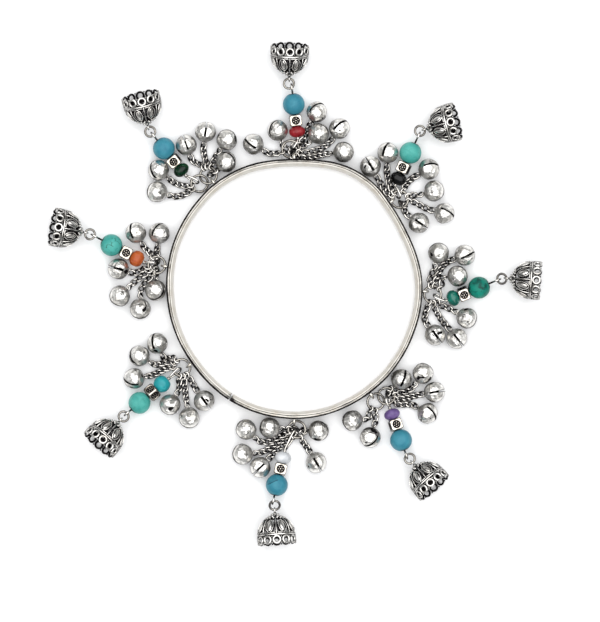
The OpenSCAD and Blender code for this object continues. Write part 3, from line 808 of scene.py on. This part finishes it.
def pin_mesh(c):
    """A drop's wire: the long loop to its jump ring, the straight run through the beads, the end loop."""
    start, head = pin_point(c, pin_start(c)), pin_point(c, c.reach)
    along = heading(c.pin, PIN_LIFT)
    upright = unit(np.cross(along, [along[1], -along[0], 0]))
    stock = Stock()
    stock.add(wire([start, pin_point(c, c.reach - END_LOOP_R)], PIN_WIRE, 12))
    stock.add(ring(head, END_LOOP_R, along, upright, PIN_WIRE, 12, 30))
    stock.add(ball(PIN_WIRE + 0.08, 12), Matrix.Translation(Vector(start)))
    run = ring_middle(c, c.ring) - start
    length = math.hypot(run[0], run[1]) - HUB_R + LOOP_INSIDE
    half = length - LONG_LOOP_R
    t = np.radians(np.linspace(-90, 90, 13))
    bend = np.c_[half + LONG_LOOP_R * np.cos(t), LONG_LOOP_R * np.sin(t), 0 * t]
    # The long loop's legs start at its neck, run apart and meet in a round end
    neck = 0.3
    leg = np.array([[0.02, -neck * 0.4, 0], [0.25, -neck, 0], [half * 0.55, -LONG_LOOP_R * 0.78, 0]])
    path = np.concatenate([leg, bend, leg[::-1] * [1, -1, 1]])
    stock.add(wire(path, PIN_WIRE, 10), pose(start, bearing_of(run), 0) @ rotation(LONG_LOOP_ROLL, "X"))
    coil_r, coil_wire, coil_turns, coil_long = 0.36, 0.13, 2.5, 0.62
    wraps = np.linspace(0, 2 * math.pi * coil_turns, 40)
    coil = np.c_[coil_r * np.cos(wraps), coil_r * np.sin(wraps), coil_r - coil_long * wraps / wraps[-1]]
    stock.add(wire(coil, coil_wire, 6), pin_pose(c, pin_start(c)), patina=0.15)
    return stock.mesh(f"drop_pin_{c.n}")


def drilled_ball(radius, half, rows, steps):
    """A ball with a flat at each end, where its drilled hole comes out."""
    top = math.asin(half / radius)
    profile = [(radius * math.cos(a), radius * math.sin(a)) for a in np.linspace(top, -top, rows)]
    return turned(profile + [(DRILL_R, -half), (DRILL_R, half)], steps)


def accent_mesh(c):
    """A drilled rondelle: faceted ones have a girdle, two rows of facets and a table at each end."""
    length, place = c.accent, pin_pose(c, accent_at(c))
    if c.n == ROUND_ACCENT:
        return Stock().add(drilled_ball(ACCENT_R, length / 2, 17, 40), place).mesh(f"accent_bead_{c.n}")
    rings = [(DRILL_R, 0.5, 0), (0.5 * ACCENT_R, 0.5, 0), (0.84 * ACCENT_R, 0.32, 0.5), (ACCENT_R, 0.08, 0)]
    rings += [(r, -z, turn) for r, z, turn in reversed(rings)]
    step = 2 * math.pi / ACCENT_FACETS
    vertices = [spun(r, a, z * length)
                for r, z, shift in rings for a in around(ACCENT_FACETS) + shift * step]
    faces = []
    for i in range(len(rings)):
        j = (i + 1) % len(rings)
        here, there = i * ACCENT_FACETS, j * ACCENT_FACETS
        for k in range(ACCENT_FACETS):
            m = (k + 1) % ACCENT_FACETS
            if rings[i][2] == rings[j][2]:
                faces.append([here + k, there + k, there + m, here + m])
            elif rings[j][2]:
                faces += [[here + k, there + k, here + m], [here + m, there + k, there + m]]
            else:
                faces += [[here + k, there + m, here + m], [here + k, there + k, there + m]]
    mesh = Stock().add((vertices, faces)).mesh(f"accent_bead_{c.n}")
    with opened(mesh) as form:
        bmesh.ops.recalc_face_normals(form, faces=form.faces)
        edges = [e for e in form.edges if e.calc_face_angle(0) > math.radians(8)]
        bmesh.ops.bevel(form, geom=edges, offset=0.16, segments=3, profile=0.5, affect="EDGES")
    mesh.transform(place)
    return mesh


def cube_mesh(c):
    """A cast cube with soft edges. Each side has a round sunk medallion with a flower of raised dots."""
    fine, half, low = 30, CUBE_SIDE / 2, CUBE_LEN / 2
    line = np.linspace(-1, 1, fine)
    u, v = (side.ravel() for side in np.meshgrid(line * half, line * low))
    sunk = MEDALLION_DEPTH * np.clip((MEDALLION_R - np.hypot(u, v)) / 0.1, 0, 1)
    dots = [(0.0, 0.0, MIDDLE_DOT_R)]
    dots += [spun(DOT_RING, a, DOT_R) for a in np.radians(15 + 60 * np.arange(6))]
    for x, y, r in dots:
        bulge = np.sqrt(np.clip(1 - ((u - x) ** 2 + (v - y) ** 2) / r ** 2, 0, 1))
        sunk = np.minimum(sunk, np.where(bulge > 0, MEDALLION_DEPTH - DOT_HIGH * bulge, sunk))
    grime = np.clip(sunk / MEDALLION_DEPTH, 0, 1) * 0.95

    def soften(p):
        """Rounds the edges, and then the corners, which are worn most."""
        box = np.array([half, half, low]) - CUBE_EDGE
        core = np.clip(p, -box, box)
        away = p - core
        p = core + away * (CUBE_EDGE / np.maximum(np.linalg.norm(away, axis=1)[:, None], CUBE_EDGE))
        return p * np.minimum(1, CORNER_R / np.linalg.norm(p, axis=1)[:, None])

    stock, faces = Stock(), grid(fine, fine, False)
    for k in range(4):
        p = soften(np.c_[u, np.full_like(u, -half), v])
        p[:, 1] += sunk
        stock.add((p, faces), rotation(90 * k, "Z"), patina=grime)
    for z in (low, -low):
        end = soften(np.c_[u, v / low * half, np.full_like(u, z)])
        stock.add((end, faces if z > 0 else [f[::-1] for f in faces]))
    mesh = stock.mesh(f"cube_bead_{c.n}")
    weld(mesh, 0.003)
    crevices(mesh, far=0.5)
    mesh.transform(pin_pose(c, CUBE_AT) @ rotation(c.spin, "Z"))
    return mesh


def stone_mesh(c):
    mesh = remember_place(Stock().add(drilled_ball(STONE_R, STONE_HALF, 27, 48)).mesh(f"stone_bead_{c.n}"))
    mesh.transform(pin_pose(c, 0))
    return mesh


LOW, HIGH = dome_angle(DOME_BOTTOM), dome_angle(DOME_TOP)
# The dome is pierced from its foot to its collar, where a row of granules lies
FOOT, COLLAR = LOW + 0.05, HIGH - 0.16
SECTOR = 2 * math.pi / LEAVES
# Stands for a leaf's width where there is none, so that nothing there counts as near it
FAR_OFF = 9.0


def on_dome(angle, turn, out=0.0):
    """A point of the dome from its place along the arc and round the axis."""
    far = DOME_R + out
    return spun(DOME_C[0] + far * math.cos(angle), turn, DOME_C[1] + far * math.sin(angle))


def leaf_half(angle):
    """Half a leaf's width at a place along the dome's arc. A leaf runs to a point at both ends."""
    s = ((angle - LOW) / (HIGH - LOW) - LEAF_MID) / LEAF_LONG
    return LEAF_W * (1 - s * s) ** 0.9 * (1 - 0.15 * s) if abs(s) < 1 else -FAR_OFF


def dome_shell():
    """The dome's skin, pierced wherever neither a leaf nor a rib covers it."""
    rows, columns = 27, LEAVES * 18
    angles = np.linspace(LOW, HIGH, rows)
    outer, inner = (np.array([on_dome(a, turn, out) for a in angles for turn in around(columns)])
                    for out in (0, -SHELL_WALL))
    faces = []
    for i, face in enumerate(grid(columns, rows, True)):
        row, k = divmod(i, columns)
        angle = (angles[row] + angles[row + 1]) / 2
        turn = (2 * math.pi * (k + 0.5) / columns) % SECTOR
        r = math.hypot(*outer[face[0]][:2])
        from_rib = r * min(turn, SECTOR - turn)
        from_leaf = r * abs(turn - SECTOR / 2) - leaf_half(angle)
        between = FOOT < angle < COLLAR
        if not (between and from_rib > PIERCED_FROM and from_leaf > PIERCED_FROM):
            faces.append(face)
    return hollow(outer, inner, faces)


def leaf():
    """A narrow domed plate lying on the dome, and the wire that is soldered round it at some distance."""
    steps, across, shorter = 13, 7, 0.11

    def at(angle, share, out):
        r = math.hypot(*on_dome(angle, 0)[:2])
        return on_dome(angle, SECTOR / 2 + share * max(leaf_half(angle), 0) / r, out)

    ends = [LOW + (LEAF_MID + side * LEAF_LONG) * (HIGH - LOW) for side in (-1, 1)]
    net = [(a, t) for a in np.linspace(ends[0] + shorter, ends[1] - shorter, steps)
           for t in np.linspace(-1, 1, across)]
    outer = np.array([at(a, t * PLATE_SHARE, 0.04 + 0.14 * (1 - t * t)) for a, t in net])
    inner = np.array([at(a, t * PLATE_SHARE, -0.24) for a, t in net])
    plate = hollow(outer, inner, grid(across, steps, False))
    sides = [[at(a, s, 0.06) for a in np.linspace(*ends, 16)] for s in (-1, 1)]
    return plate, wire(np.array(sides[0] + sides[1][::-1][1:-1]), LEAF_WIRE, 8, closed=True)


def cap_mesh():
    """A bell cap of soldered wire: rings round the mouth, a band, and a pierced dome of ribs and leaves."""
    stock = Stock()

    def set_round(count, shape, place=(0, 0, 0), patina=0.0, start=0.0):
        for k in range(count):
            turn = Matrix.Rotation(2 * math.pi * (k + start) / count, 4, "Z")
            stock.add(shape, turn @ Matrix.Translation(place), patina)

    ring_out = (BAND_AT - 0.1) / 2
    rim_ring = [MOUTH_R - 0.22, 0, ring_out], ring_out - 0.34, [0, 1, 0], [0, 0, 1]
    set_round(RIM_RINGS, ring(*rim_ring, RIM_RING_WIRE, 9, 24))
    set_round(RIM_RINGS, ball(0.24, 10), (MOUTH_R - 0.3, 0, ring_out + 0.72), start=0.5)
    set_round(RIM_RINGS, ball(0.2, 8), (MOUTH_R - 0.34, 0, ring_out - 0.8), start=0.5)
    for at, r, gauge in ((BAND_AT - 0.02, MOUTH_R - 0.2, 0.25), (BAND_AT + 0.42, MOUTH_R - 0.26, 0.2)):
        stock.add(ring([0, 0, at], r, [1, 0, 0], [0, 1, 0], gauge, 8, 64))
    stock.add(dome_shell(), patina=SKIN_TARNISH)
    plate, edge = leaf()
    rib = [on_dome(a, 0, 0.02) for a in np.linspace(FOOT, HIGH - 0.05, 16)]
    set_round(LEAVES, plate, patina=PLATE_TARNISH)
    set_round(LEAVES, edge, patina=WIREWORK_TARNISH)
    set_round(LEAVES, wire(rib, np.linspace(*RIB_WIRE, 16), 8), patina=WIREWORK_TARNISH)
    for angle, count, r in ((COLLAR, 16, 0.25), (HIGH, 8, 0.34)):
        for turn in around(count) + math.pi / count:
            stock.add(ball(r, 10), Matrix.Translation(on_dome(angle, turn, 0.1)), patina=GRANULE_TARNISH)
    neck = [(1.3, 7.2), (1.18, 7.75), (0.85, 8.0), (0.4, 8.15), (0.05, 8.15), (0.05, 7.0), (1.3, 7.0)]
    stock.add(turned(neck[::-1], 24))
    set_round(8, ball(0.24, 8), (0.95, 0, 7.92), patina=-0.4)
    stock.add(ball(0.62, 14), Matrix.Translation((0, 0, CAP_H - 0.65)), patina=-0.3)
    stock.add(ring([0, 0, CAP_EYE_AT], CAP_EYE_R, [1, 0, 0], [0, 0, 1], CAP_EYE_WIRE, 10, 26))
    mesh = stock.mesh("filigree_cap")
    weld(mesh)
    # The faces towards the cap's axis are darkened: partly patina, partly painted shade of the hollow inside
    return blacken_inside(crevices(mesh, far=2.2), DOME_TOP[1], 0.9)


# Finishes

# The first colour is the grey of the painted shade on the sides of silver pieces. The black is tarnish, and
# also the painted shade at the stones' drilled ends
SIDE_SHADE_GREY, BLACK = (0.085, 0.08, 0.082), (0.014, 0.012, 0.013)


def silver(name, clean, dull, rough, start, full, shade, side_shade_from, edge=1.0, grain=0.02, marked=False):
    """Worn silver. Tarnish grows from start to full with how closed in a place is. Painted shade, up to a
    share of shade, grows from bare to edge with how far the surface faces away from straight up, so the sides
    are painted darker than the tops, as if lit from above. The grain is the depth of its relief in
    millimetres."""
    finish = Finish(name, {"Metallic": 1.0})
    place = finish.place()
    clouds = finish.noise(place, 0.45, 4.0, 0.6)
    fine = finish.noise(place, 5.0, 3.0, 0.6)
    scratches = finish.noise(finish.vectors("MULTIPLY", place, (9.0, 1.2, 3.0)), 2.2, 2.0, 0.7)
    tarnish = finish.attribute("patina")["Fac"] + (fine - 0.5) * 0.35 + (clouds - 0.5) * 0.2
    tarnish = tarnish.rise(start, full)
    metal = finish.mix(clouds.rise(0.4, 0.75), clean, dull)
    # Painted shade: the further a place faces away from straight up, the more its colour is mixed towards the
    # dark grey, as if the light came only from above
    flank = (finish.attribute("flank")["Fac"] + (clouds - 0.5) * 0.3).rise(side_shade_from, edge)
    metal = finish.mix(flank * shade, metal, SIDE_SHADE_GREY)
    relief = fine * 0.6 + clouds * 1.2 + scratches * 0.3
    if marked:
        tarnish = tarnish.most(bell_marks(finish, place, clouds))
        relief = relief + finish.noise(place, 0.85, 2.0, 0.4) * 7.0
    finish.set("Base Color", finish.mix(tarnish, metal, BLACK))
    finish.set("Roughness", tarnish * 0.3 + rough + (fine - 0.5) * 0.12 + scratches.rise(0.5, 0.8) * 0.06)
    finish.bump(relief, grain)
    return finish.material


def bell_marks(finish, place, clouds):
    """The black that stays in a bell's seam, in punched dots and in shallow dents, and black along the slit
    that is partly tarnish and partly painted shade of the opening.
    """
    _, side, height = finish.split(finish.attribute("own")["Vector"])
    patches = finish.noise(place, 0.7, 3.0, 0.65)
    # Black along the slit below its holes: partly tarnish, partly painted shade that draws the dark of the
    # opening wider
    slit = (abs(side) + (patches - 0.5) * 0.5).rise(0.32, 0.18) * height.rise(-0.1, -0.4)
    seam = abs(height - 0.05).rise(0.11, 0.02) * clouds.rise(0.35, 0.55)
    cells = finish.cells(place, 0.42)
    dots = cells["Distance"].rise(0.13, 0.07) * finish.split(cells["Color"])[0].rise(0.6, 0.62)
    return (seam * 0.8).most(dots * 0.95).most(slit * 0.95).most(patches.rise(0.6, 0.7) * 0.6)


def glass(name, deep, light, rough=0.35, coat=0.15):
    """Pressed glass, almost opaque, with a polished skin."""
    finish = Finish(name, {"Coat Weight": coat, "Coat Roughness": 0.1, "Specular IOR Level": 0.3,
                           "Roughness": rough})
    place = finish.place()
    swirl = finish.noise(place, 0.5, 3.0, 0.5, 0.6)
    finish.set("Base Color", finish.mix(swirl.rise(0.35, 0.7), deep, light))
    finish.bump(finish.noise(place, 0.9, 2.0), 0.02)
    return finish.material


def stone(name, body, pale, dark, mottle, patch=0.0, crack=None):
    """Tumbled stone with cloudy colour, dark specks, painted shade at its drilled ends and a soft polish. A
    crack is given by its two ends.
    """
    finish = Finish(name, {"Specular IOR Level": 0.25})
    place = finish.place()
    clouds = finish.noise(place, 0.35, 4.0, 0.55, 0.4)
    patches = finish.noise(place, 0.9, 3.0, 0.6)
    veins = finish.cells(finish.warped(place, 1.1), 0.9, "DISTANCE_TO_EDGE").rise(0.09, 0.02)
    colour = finish.mix(clouds.rise(0.35, 0.7), body, pale)
    colour = finish.mix(veins * patches.rise(0.5, 0.6) * mottle, colour, dark)
    if patch:
        colour = finish.mix(finish.noise(place, 0.3, 3.0, 0.55).rise(0.5, 0.62) * patch, colour, dark)
    if crack:
        (x0, y0), (x1, y1) = crack
        length = math.dist(*crack)
        dx, dy = (x1 - x0) / length, (y1 - y0) / length
        x, y, _ = finish.split(place)
        along = (x - x0) * dx + (y - y0) * dy
        beside = (y - y0) * dx - (x - x0) * dy + (patches - 0.5) * 0.5
        within = along.rise(-0.3, 0.1) * along.rise(length + 0.3, length - 0.3)
        colour = finish.mix(beside.rise(1.3, 0.1) * beside.rise(-0.05, 0.1) * within * 0.35, colour, dark)
        colour = finish.mix(abs(beside).rise(0.16, 0.05) * within * 0.9, colour, dark)
    # Painted shade: both ends of the bead, where it meets its neighbours on the pin, are darkened towards
    # black as the shadow in the joint
    ends = abs(finish.split(finish.attribute("own")["Vector"])[2]) + (patches - 0.5) * 0.3
    finish.set("Base Color", finish.mix(ends.rise(2.45, 2.7) * 0.85, colour, BLACK))
    finish.set("Roughness", patches * 0.15 + 0.36)
    finish.bump(finish.noise(place, 3.0, 3.0), 0.012)
    return finish.material


# Chains

def chain_path(bell):
    """The way of a chain's links, from the jump ring's wire to the bell's loop."""
    middle, out = ring_middle(CLUSTERS[bell.cluster - 1], bell.ring), heading(bell.start)
    below = bell.under > 0
    start = middle + (bell.under if below else HUB_R + HUB_WIRE + CHAIN_GAP) * out
    start[2] = CHAIN_Z if below else middle[2] - CHAIN_LOW
    home, toward = np.array([bell.x, bell.y, BELL_R]), heading(bell.loop, -bell.lift)
    end = home + (LOOP_OUT + LOOP_R + LOOP_WIRE + CHAIN_GAP) * toward
    end[2] = max(end[2], CHAIN_Z)
    span = (end - start)[:2]
    away = unit((0 if below else out[:2]) + unit(span))
    pull = bell.pull or CHAIN_PULL * np.linalg.norm(span)
    first = np.array([*(start[:2] + pull * away), (start[2] + CHAIN_Z) / 2])
    second = np.array([*(end[:2] + pull * heading(bell.loop)[:2]), (end[2] + CHAIN_Z) / 2])
    t = np.linspace(0, 1, 40)[:, None]
    curve = (1 - t) ** 3 * start + 3 * t * (1 - t) ** 2 * first + 3 * t ** 2 * (1 - t) * second + t ** 3 * end
    return np.concatenate([[middle + HUB_R * out], curve, [home + LOOP_OUT * toward]])


def link_places(bell):
    """Where a chain's links go. The end links stand across the ring and the loop that they hang on."""
    path = chain_path(bell)
    run = np.concatenate([[0], np.cumsum(np.linalg.norm(np.diff(path, axis=0), axis=1))])
    first, last = FIRST_LINK, run[-1] - LAST_LINK
    count = max(2, round((last - first) / LINK_PITCH) + 1)
    # The first links stand upright and the last ones like the bell's loop. Between them they lie flat
    roll_end = (bell.roll + 90) % 180 - 90
    after_ring, before_bell = 1.3, 1.6

    def on_path(s):
        return np.array([np.interp(s, run, path[:, k]) for k in range(3)])

    places = []
    for i in range(count):
        s = first + (last - first) * i / (count - 1)
        at, along = on_path(s), unit(on_path(s + 0.4) - on_path(s - 0.4))
        side = unit(np.cross([0, 0, 1.0] if abs(along[2]) < 0.95 else [1.0, 0, 0], along))
        frame_at = Matrix(np.c_[along, side, np.cross(along, side)].tolist()).to_4x4()
        roll = (90 * math.exp(-s / after_ring) + roll_end * math.exp((s - run[-1]) / before_bell)
                + random.uniform(-LINK_ROLL, LINK_ROLL))
        turn = frame_at @ rotation(roll, "X")
        # A link that is up to 4 percent larger has to stay above the table too
        lowest = (LINK_SHAPE[0] @ np.array(turn)[2, :3]).min() * 1.04
        at[2] = max(at[2], 0.03 - lowest)
        places.append(Matrix.Translation(Vector(at)) @ turn)
    return places


def set_out_tree():
    """Puts a pattern on every point, turned and sized by the point's own attributes."""
    former = Former("set_out", pattern="Object", material="Material")
    turn, size = (former.add("GeometryNodeInputNamedAttribute", {"Name": name}, data_type=kind)
                  for kind, name in (("FLOAT_VECTOR", "turn"), ("FLOAT", "size")))
    pattern = former.add("GeometryNodeObjectInfo", {"Object": former.given("pattern"), "As Instance": True})
    former.ends_in(former.add("GeometryNodeInstanceOnPoints", {
        "Points": former.given("geometry"), "Instance": pattern["Geometry"],
        "Rotation": turn, "Scale": size}))
    return former


def dents_tree():
    """Gives hand-raised metal its small dents: each point moves a little along its normal."""
    former = Former("dents", depth="Float", scale="Float", material="Material")
    whole_above = 0.58
    place = former.add("GeometryNodeInputPosition")
    bumps = former.add("ShaderNodeTexNoise", {
        "Vector": place, "Scale": former.given("scale"), "Detail": 1.0})
    push = (bumps - whole_above).least(0.0) * former.given("depth")
    normal = former.add("GeometryNodeInputNormal")
    offset = former.vectors("SCALE", normal, push)
    former.ends_in(former.add("GeometryNodeSetPosition", {
        "Geometry": former.given("geometry"), "Offset": offset}))
    return former


def pattern_object(name, mesh):
    mesh.shade_smooth()
    return bpy.data.objects.new(name, mesh)


# Putting the bangle together

random.seed(11)
BAND_SILVER = silver("band_silver", (0.82, 0.79, 0.72), (0.7, 0.64, 0.54),
                     rough=0.3, start=0.3, full=0.7, shade=0.45, side_shade_from=0.2)
WIRE_SILVER = silver("wire_silver", (0.46, 0.435, 0.39), (0.22, 0.2, 0.17),
                     rough=0.22, start=-0.12, full=0.28, shade=0.97, side_shade_from=0.0, edge=0.28, grain=0.05)
CHAIN_SILVER = silver("chain_silver", (0.82, 0.79, 0.74), (0.42, 0.39, 0.34),
                      rough=0.2, start=0.04, full=0.34, shade=1.0, side_shade_from=0.0, edge=0.3, grain=0.04)
PIN_SILVER = silver("pin_silver", (0.85, 0.82, 0.77), (0.55, 0.52, 0.47),
                    rough=0.2, start=0.45, full=0.85, shade=0.9, side_shade_from=0.05, edge=0.6)
BELL_SILVER = silver("bell_silver", (0.9, 0.885, 0.85), (0.64, 0.615, 0.57),
                     rough=0.3, start=0.38, full=0.8, shade=0.92, side_shade_from=0.36, grain=0.07, marked=True)
CUBE_SILVER = silver("cube_silver", (0.84, 0.78, 0.68), (0.7, 0.62, 0.5),
                     rough=0.26, start=0.25, full=0.6, shade=0.95, side_shade_from=0.06, edge=0.5)
CAP_SILVER = silver("cap_silver", (0.84, 0.825, 0.79), (0.56, 0.53, 0.49),
                    rough=0.22, start=0.15, full=0.38, shade=0.88, side_shade_from=0.12, edge=0.85, grain=0.035)
ACCENT_GLASS = [
    glass("red_glass", (0.2, 0.008, 0.012), (0.3, 0.018, 0.025), 0.3, 0.1),
    glass("black_glass", (0.001, 0.001, 0.001), (0.004, 0.004, 0.005), 0.18, 0.0),
    glass("sea_green_glass", (0.0, 0.09, 0.065), (0.005, 0.17, 0.125), 0.3, 0.6),
    glass("violet_glass", (0.11, 0.065, 0.2), (0.18, 0.115, 0.3)),
    glass("milky_glass", (0.52, 0.54, 0.56), (0.72, 0.73, 0.75), 0.15),
    glass("cyan_glass", (0.01, 0.25, 0.28), (0.03, 0.36, 0.38)),
    glass("orange_glass", (0.35, 0.06, 0.012), (0.5, 0.12, 0.028)),
    glass("bottle_green_glass", (0.0, 0.008, 0.003), (0.002, 0.045, 0.015), 0.25, 0.05),
]
# Stones: body, pale clouds, dark marks
BLUE = (0.03, 0.19, 0.265), (0.05, 0.25, 0.325), (0.008, 0.05, 0.08)
GREENISH = (0.045, 0.31, 0.27), (0.085, 0.4, 0.35), (0.02, 0.1, 0.07)
DEEP = (0.001, 0.16, 0.115), (0.004, 0.23, 0.165), (0.0, 0.02, 0.018)


def stone_finish(c):
    kind = {3: DEEP, 2: GREENISH, 6: GREENISH, 7: GREENISH}.get(c.n, BLUE)
    mottle = {7: 0.9, 3: 0.5, 2: 0.25, 6: 0.3}.get(c.n, 0.12)
    x, y = c.stone_x, c.stone_y
    crack = ((x - 2.3, y + 0.2), (x + 0.2, y + 1.4)) if c.n == 5 else None
    return stone(f"stone_{c.n}", *kind, mottle, patch=0.8 if c.n == 3 else 0.0, crack=crack)


SET_OUT, DENTS = set_out_tree(), dents_tree()
LINK_SHAPE = curb_link()
LINK = pattern_object("link_pattern", crevices(Stock().add(LINK_SHAPE).mesh("link"), far=1.0))
BELL = pattern_object("bell_pattern", bell_mesh())
finish_piece("strip_and_eyes", crevices(band_mesh(), far=1.2), BAND_SILVER, ["band"], sharp=30)

rings = Stock()
for c in CLUSTERS:
    cut = Matrix.Rotation(random.uniform(0, 6), 4, "Z")
    rings.add(jump_ring(HUB_R, HUB_WIRE, 44), pose(ring_middle(c), c.hub, hub_slope(c)) @ cut)
    span = cap_eye_point(c) - pin_point(c, c.reach)
    rise = math.degrees(math.atan2(span[2], math.hypot(span[0], span[1])))
    rings.add(jump_ring(LINK_R, PIN_WIRE + 0.05, 36), pose(cap_ring_middle(c), bearing_of(span), -rise) @ cut)
for middle, low_side in SECOND_RINGS.values():
    rings.add(jump_ring(HUB_R, HUB_WIRE, 44), pose(middle, low_side, RING_TWIST))
finish_piece("jump_ring_wires", rings.mesh("jump_rings"), WIRE_SILVER, ["jump_rings"])

CAP = cap_mesh()
for n, c in enumerate(CLUSTERS, 1):
    mine = [b for b in BELLS if b.cluster == n]
    places = [m for b in mine for m in link_places(b)]
    sizes = [random.uniform(*LINK_SIZES) for m in places]
    points = points_mesh(f"link_points_{n}", places, sizes)
    links = SET_OUT.form(f"links_{n}", points, pattern=LINK, material=CHAIN_SILVER)
    finish_piece(f"curb_chains_{n}", links, CHAIN_SILVER, [f"bell_chains_{n}"], sharp=60)

    points = points_mesh(f"bell_points_{n}", [bell_pose(b) for b in mine])
    bells = SET_OUT.form(f"bells_{n}", points, pattern=BELL, material=BELL_SILVER)
    dented = DENTS.form(f"dented_bells_{n}", bells, depth=0.6, scale=0.32, material=BELL_SILVER)
    finish_piece(f"hand_raised_bells_{n}", dented, BELL_SILVER, [f"jingle_bells_{n}"], sharp=35)

    finish_piece(f"wrapped_pin_{n}", crevices(pin_mesh(c), far=0.6), PIN_SILVER, [f"drop_pin_{n}"])
    finish_piece(f"polished_accent_{n}", accent_mesh(c), ACCENT_GLASS[n - 1], [f"accent_bead_{n}"], sharp=12)
    finish_piece(f"cast_cube_{n}", cube_mesh(c), CUBE_SILVER, [f"cube_bead_{n}"], sharp=50)
    finish_piece(f"tumbled_stone_{n}", stone_mesh(c), stone_finish(c), [f"stone_bead_{n}"])
    cap = CAP.copy()
    cap.transform(cap_pose(c))
    finish_piece(f"wirework_cap_{n}", cap, CAP_SILVER, [f"filigree_cap_{n}"], sharp=45)


# The table it lies on, the light and the camera

FLOOR_HALF = 1.5


def floor_piece():
    mesh = bpy.data.meshes.new("table_top")
    corners = [(x * FLOOR_HALF, y * FLOOR_HALF, 0) for x, y in ((-1, -1), (1, -1), (1, 1), (-1, 1))]
    mesh.from_pydata(corners, [], [[0, 1, 2, 3]])
    finish = Finish("white_paper", {"Roughness": 0.9})
    weave = finish.noise(finish.place(), 0.02, 2.0)
    finish.set("Base Color", finish.mix(weave, (0.955, 0.955, 0.955), (0.97, 0.97, 0.97)))
    mesh.materials.append(finish.material)
    return put_in("table_top", mesh)


def lamp(name, place, aim, width, depth, power):
    light = bpy.data.lights.new(name, "AREA")
    light.shape = "RECTANGLE"
    light.size, light.size_y, light.energy = width, depth, power
    holder = put_in(name, light)
    holder.location = place
    holder.rotation_euler = (Vector(aim) - Vector(place)).to_track_quat("-Z", "Y").to_euler()


floor_piece()
lamp("softbox", place=(0.05, 0.1, 1.4), aim=(0, 0, 0), width=2.9, depth=2.8, power=56.0)
world = bpy.data.worlds.new("studio")
world.use_nodes = True
sky = world.node_tree.nodes["Background"]
sky.inputs["Color"].default_value = (0.95, 0.97, 1.0, 1.0)
sky.inputs["Strength"].default_value = 0.22
scene = bpy.context.scene
scene.world = world
scene.view_settings.view_transform = "Standard"

# The photo is 600 pixels wide, each of them 0.26 mm, and was taken from almost straight above
PICTURE_W, SENSOR_W = 600 * 0.26 * MM, 36
AIM = (1.56 * MM, -5.63 * MM, 0)
CAMERA_UP, CAMERA_LEAN, CAMERA_SIDE = 1.2, 1.5, 225
lens = bpy.data.cameras.new("camera")
lens.sensor_fit = "HORIZONTAL"
lens.sensor_width = SENSOR_W
lens.lens = SENSOR_W * CAMERA_UP / PICTURE_W
camera = put_in("camera", lens)
camera.location = Vector(AIM) + Vector(heading(CAMERA_SIDE, 90 - CAMERA_LEAN)) * CAMERA_UP
lean = rotation(CAMERA_SIDE, "Z") @ rotation(CAMERA_LEAN, "Y") @ rotation(-CAMERA_SIDE, "Z")
camera.rotation_euler = lean.to_euler()
scene.camera = camera
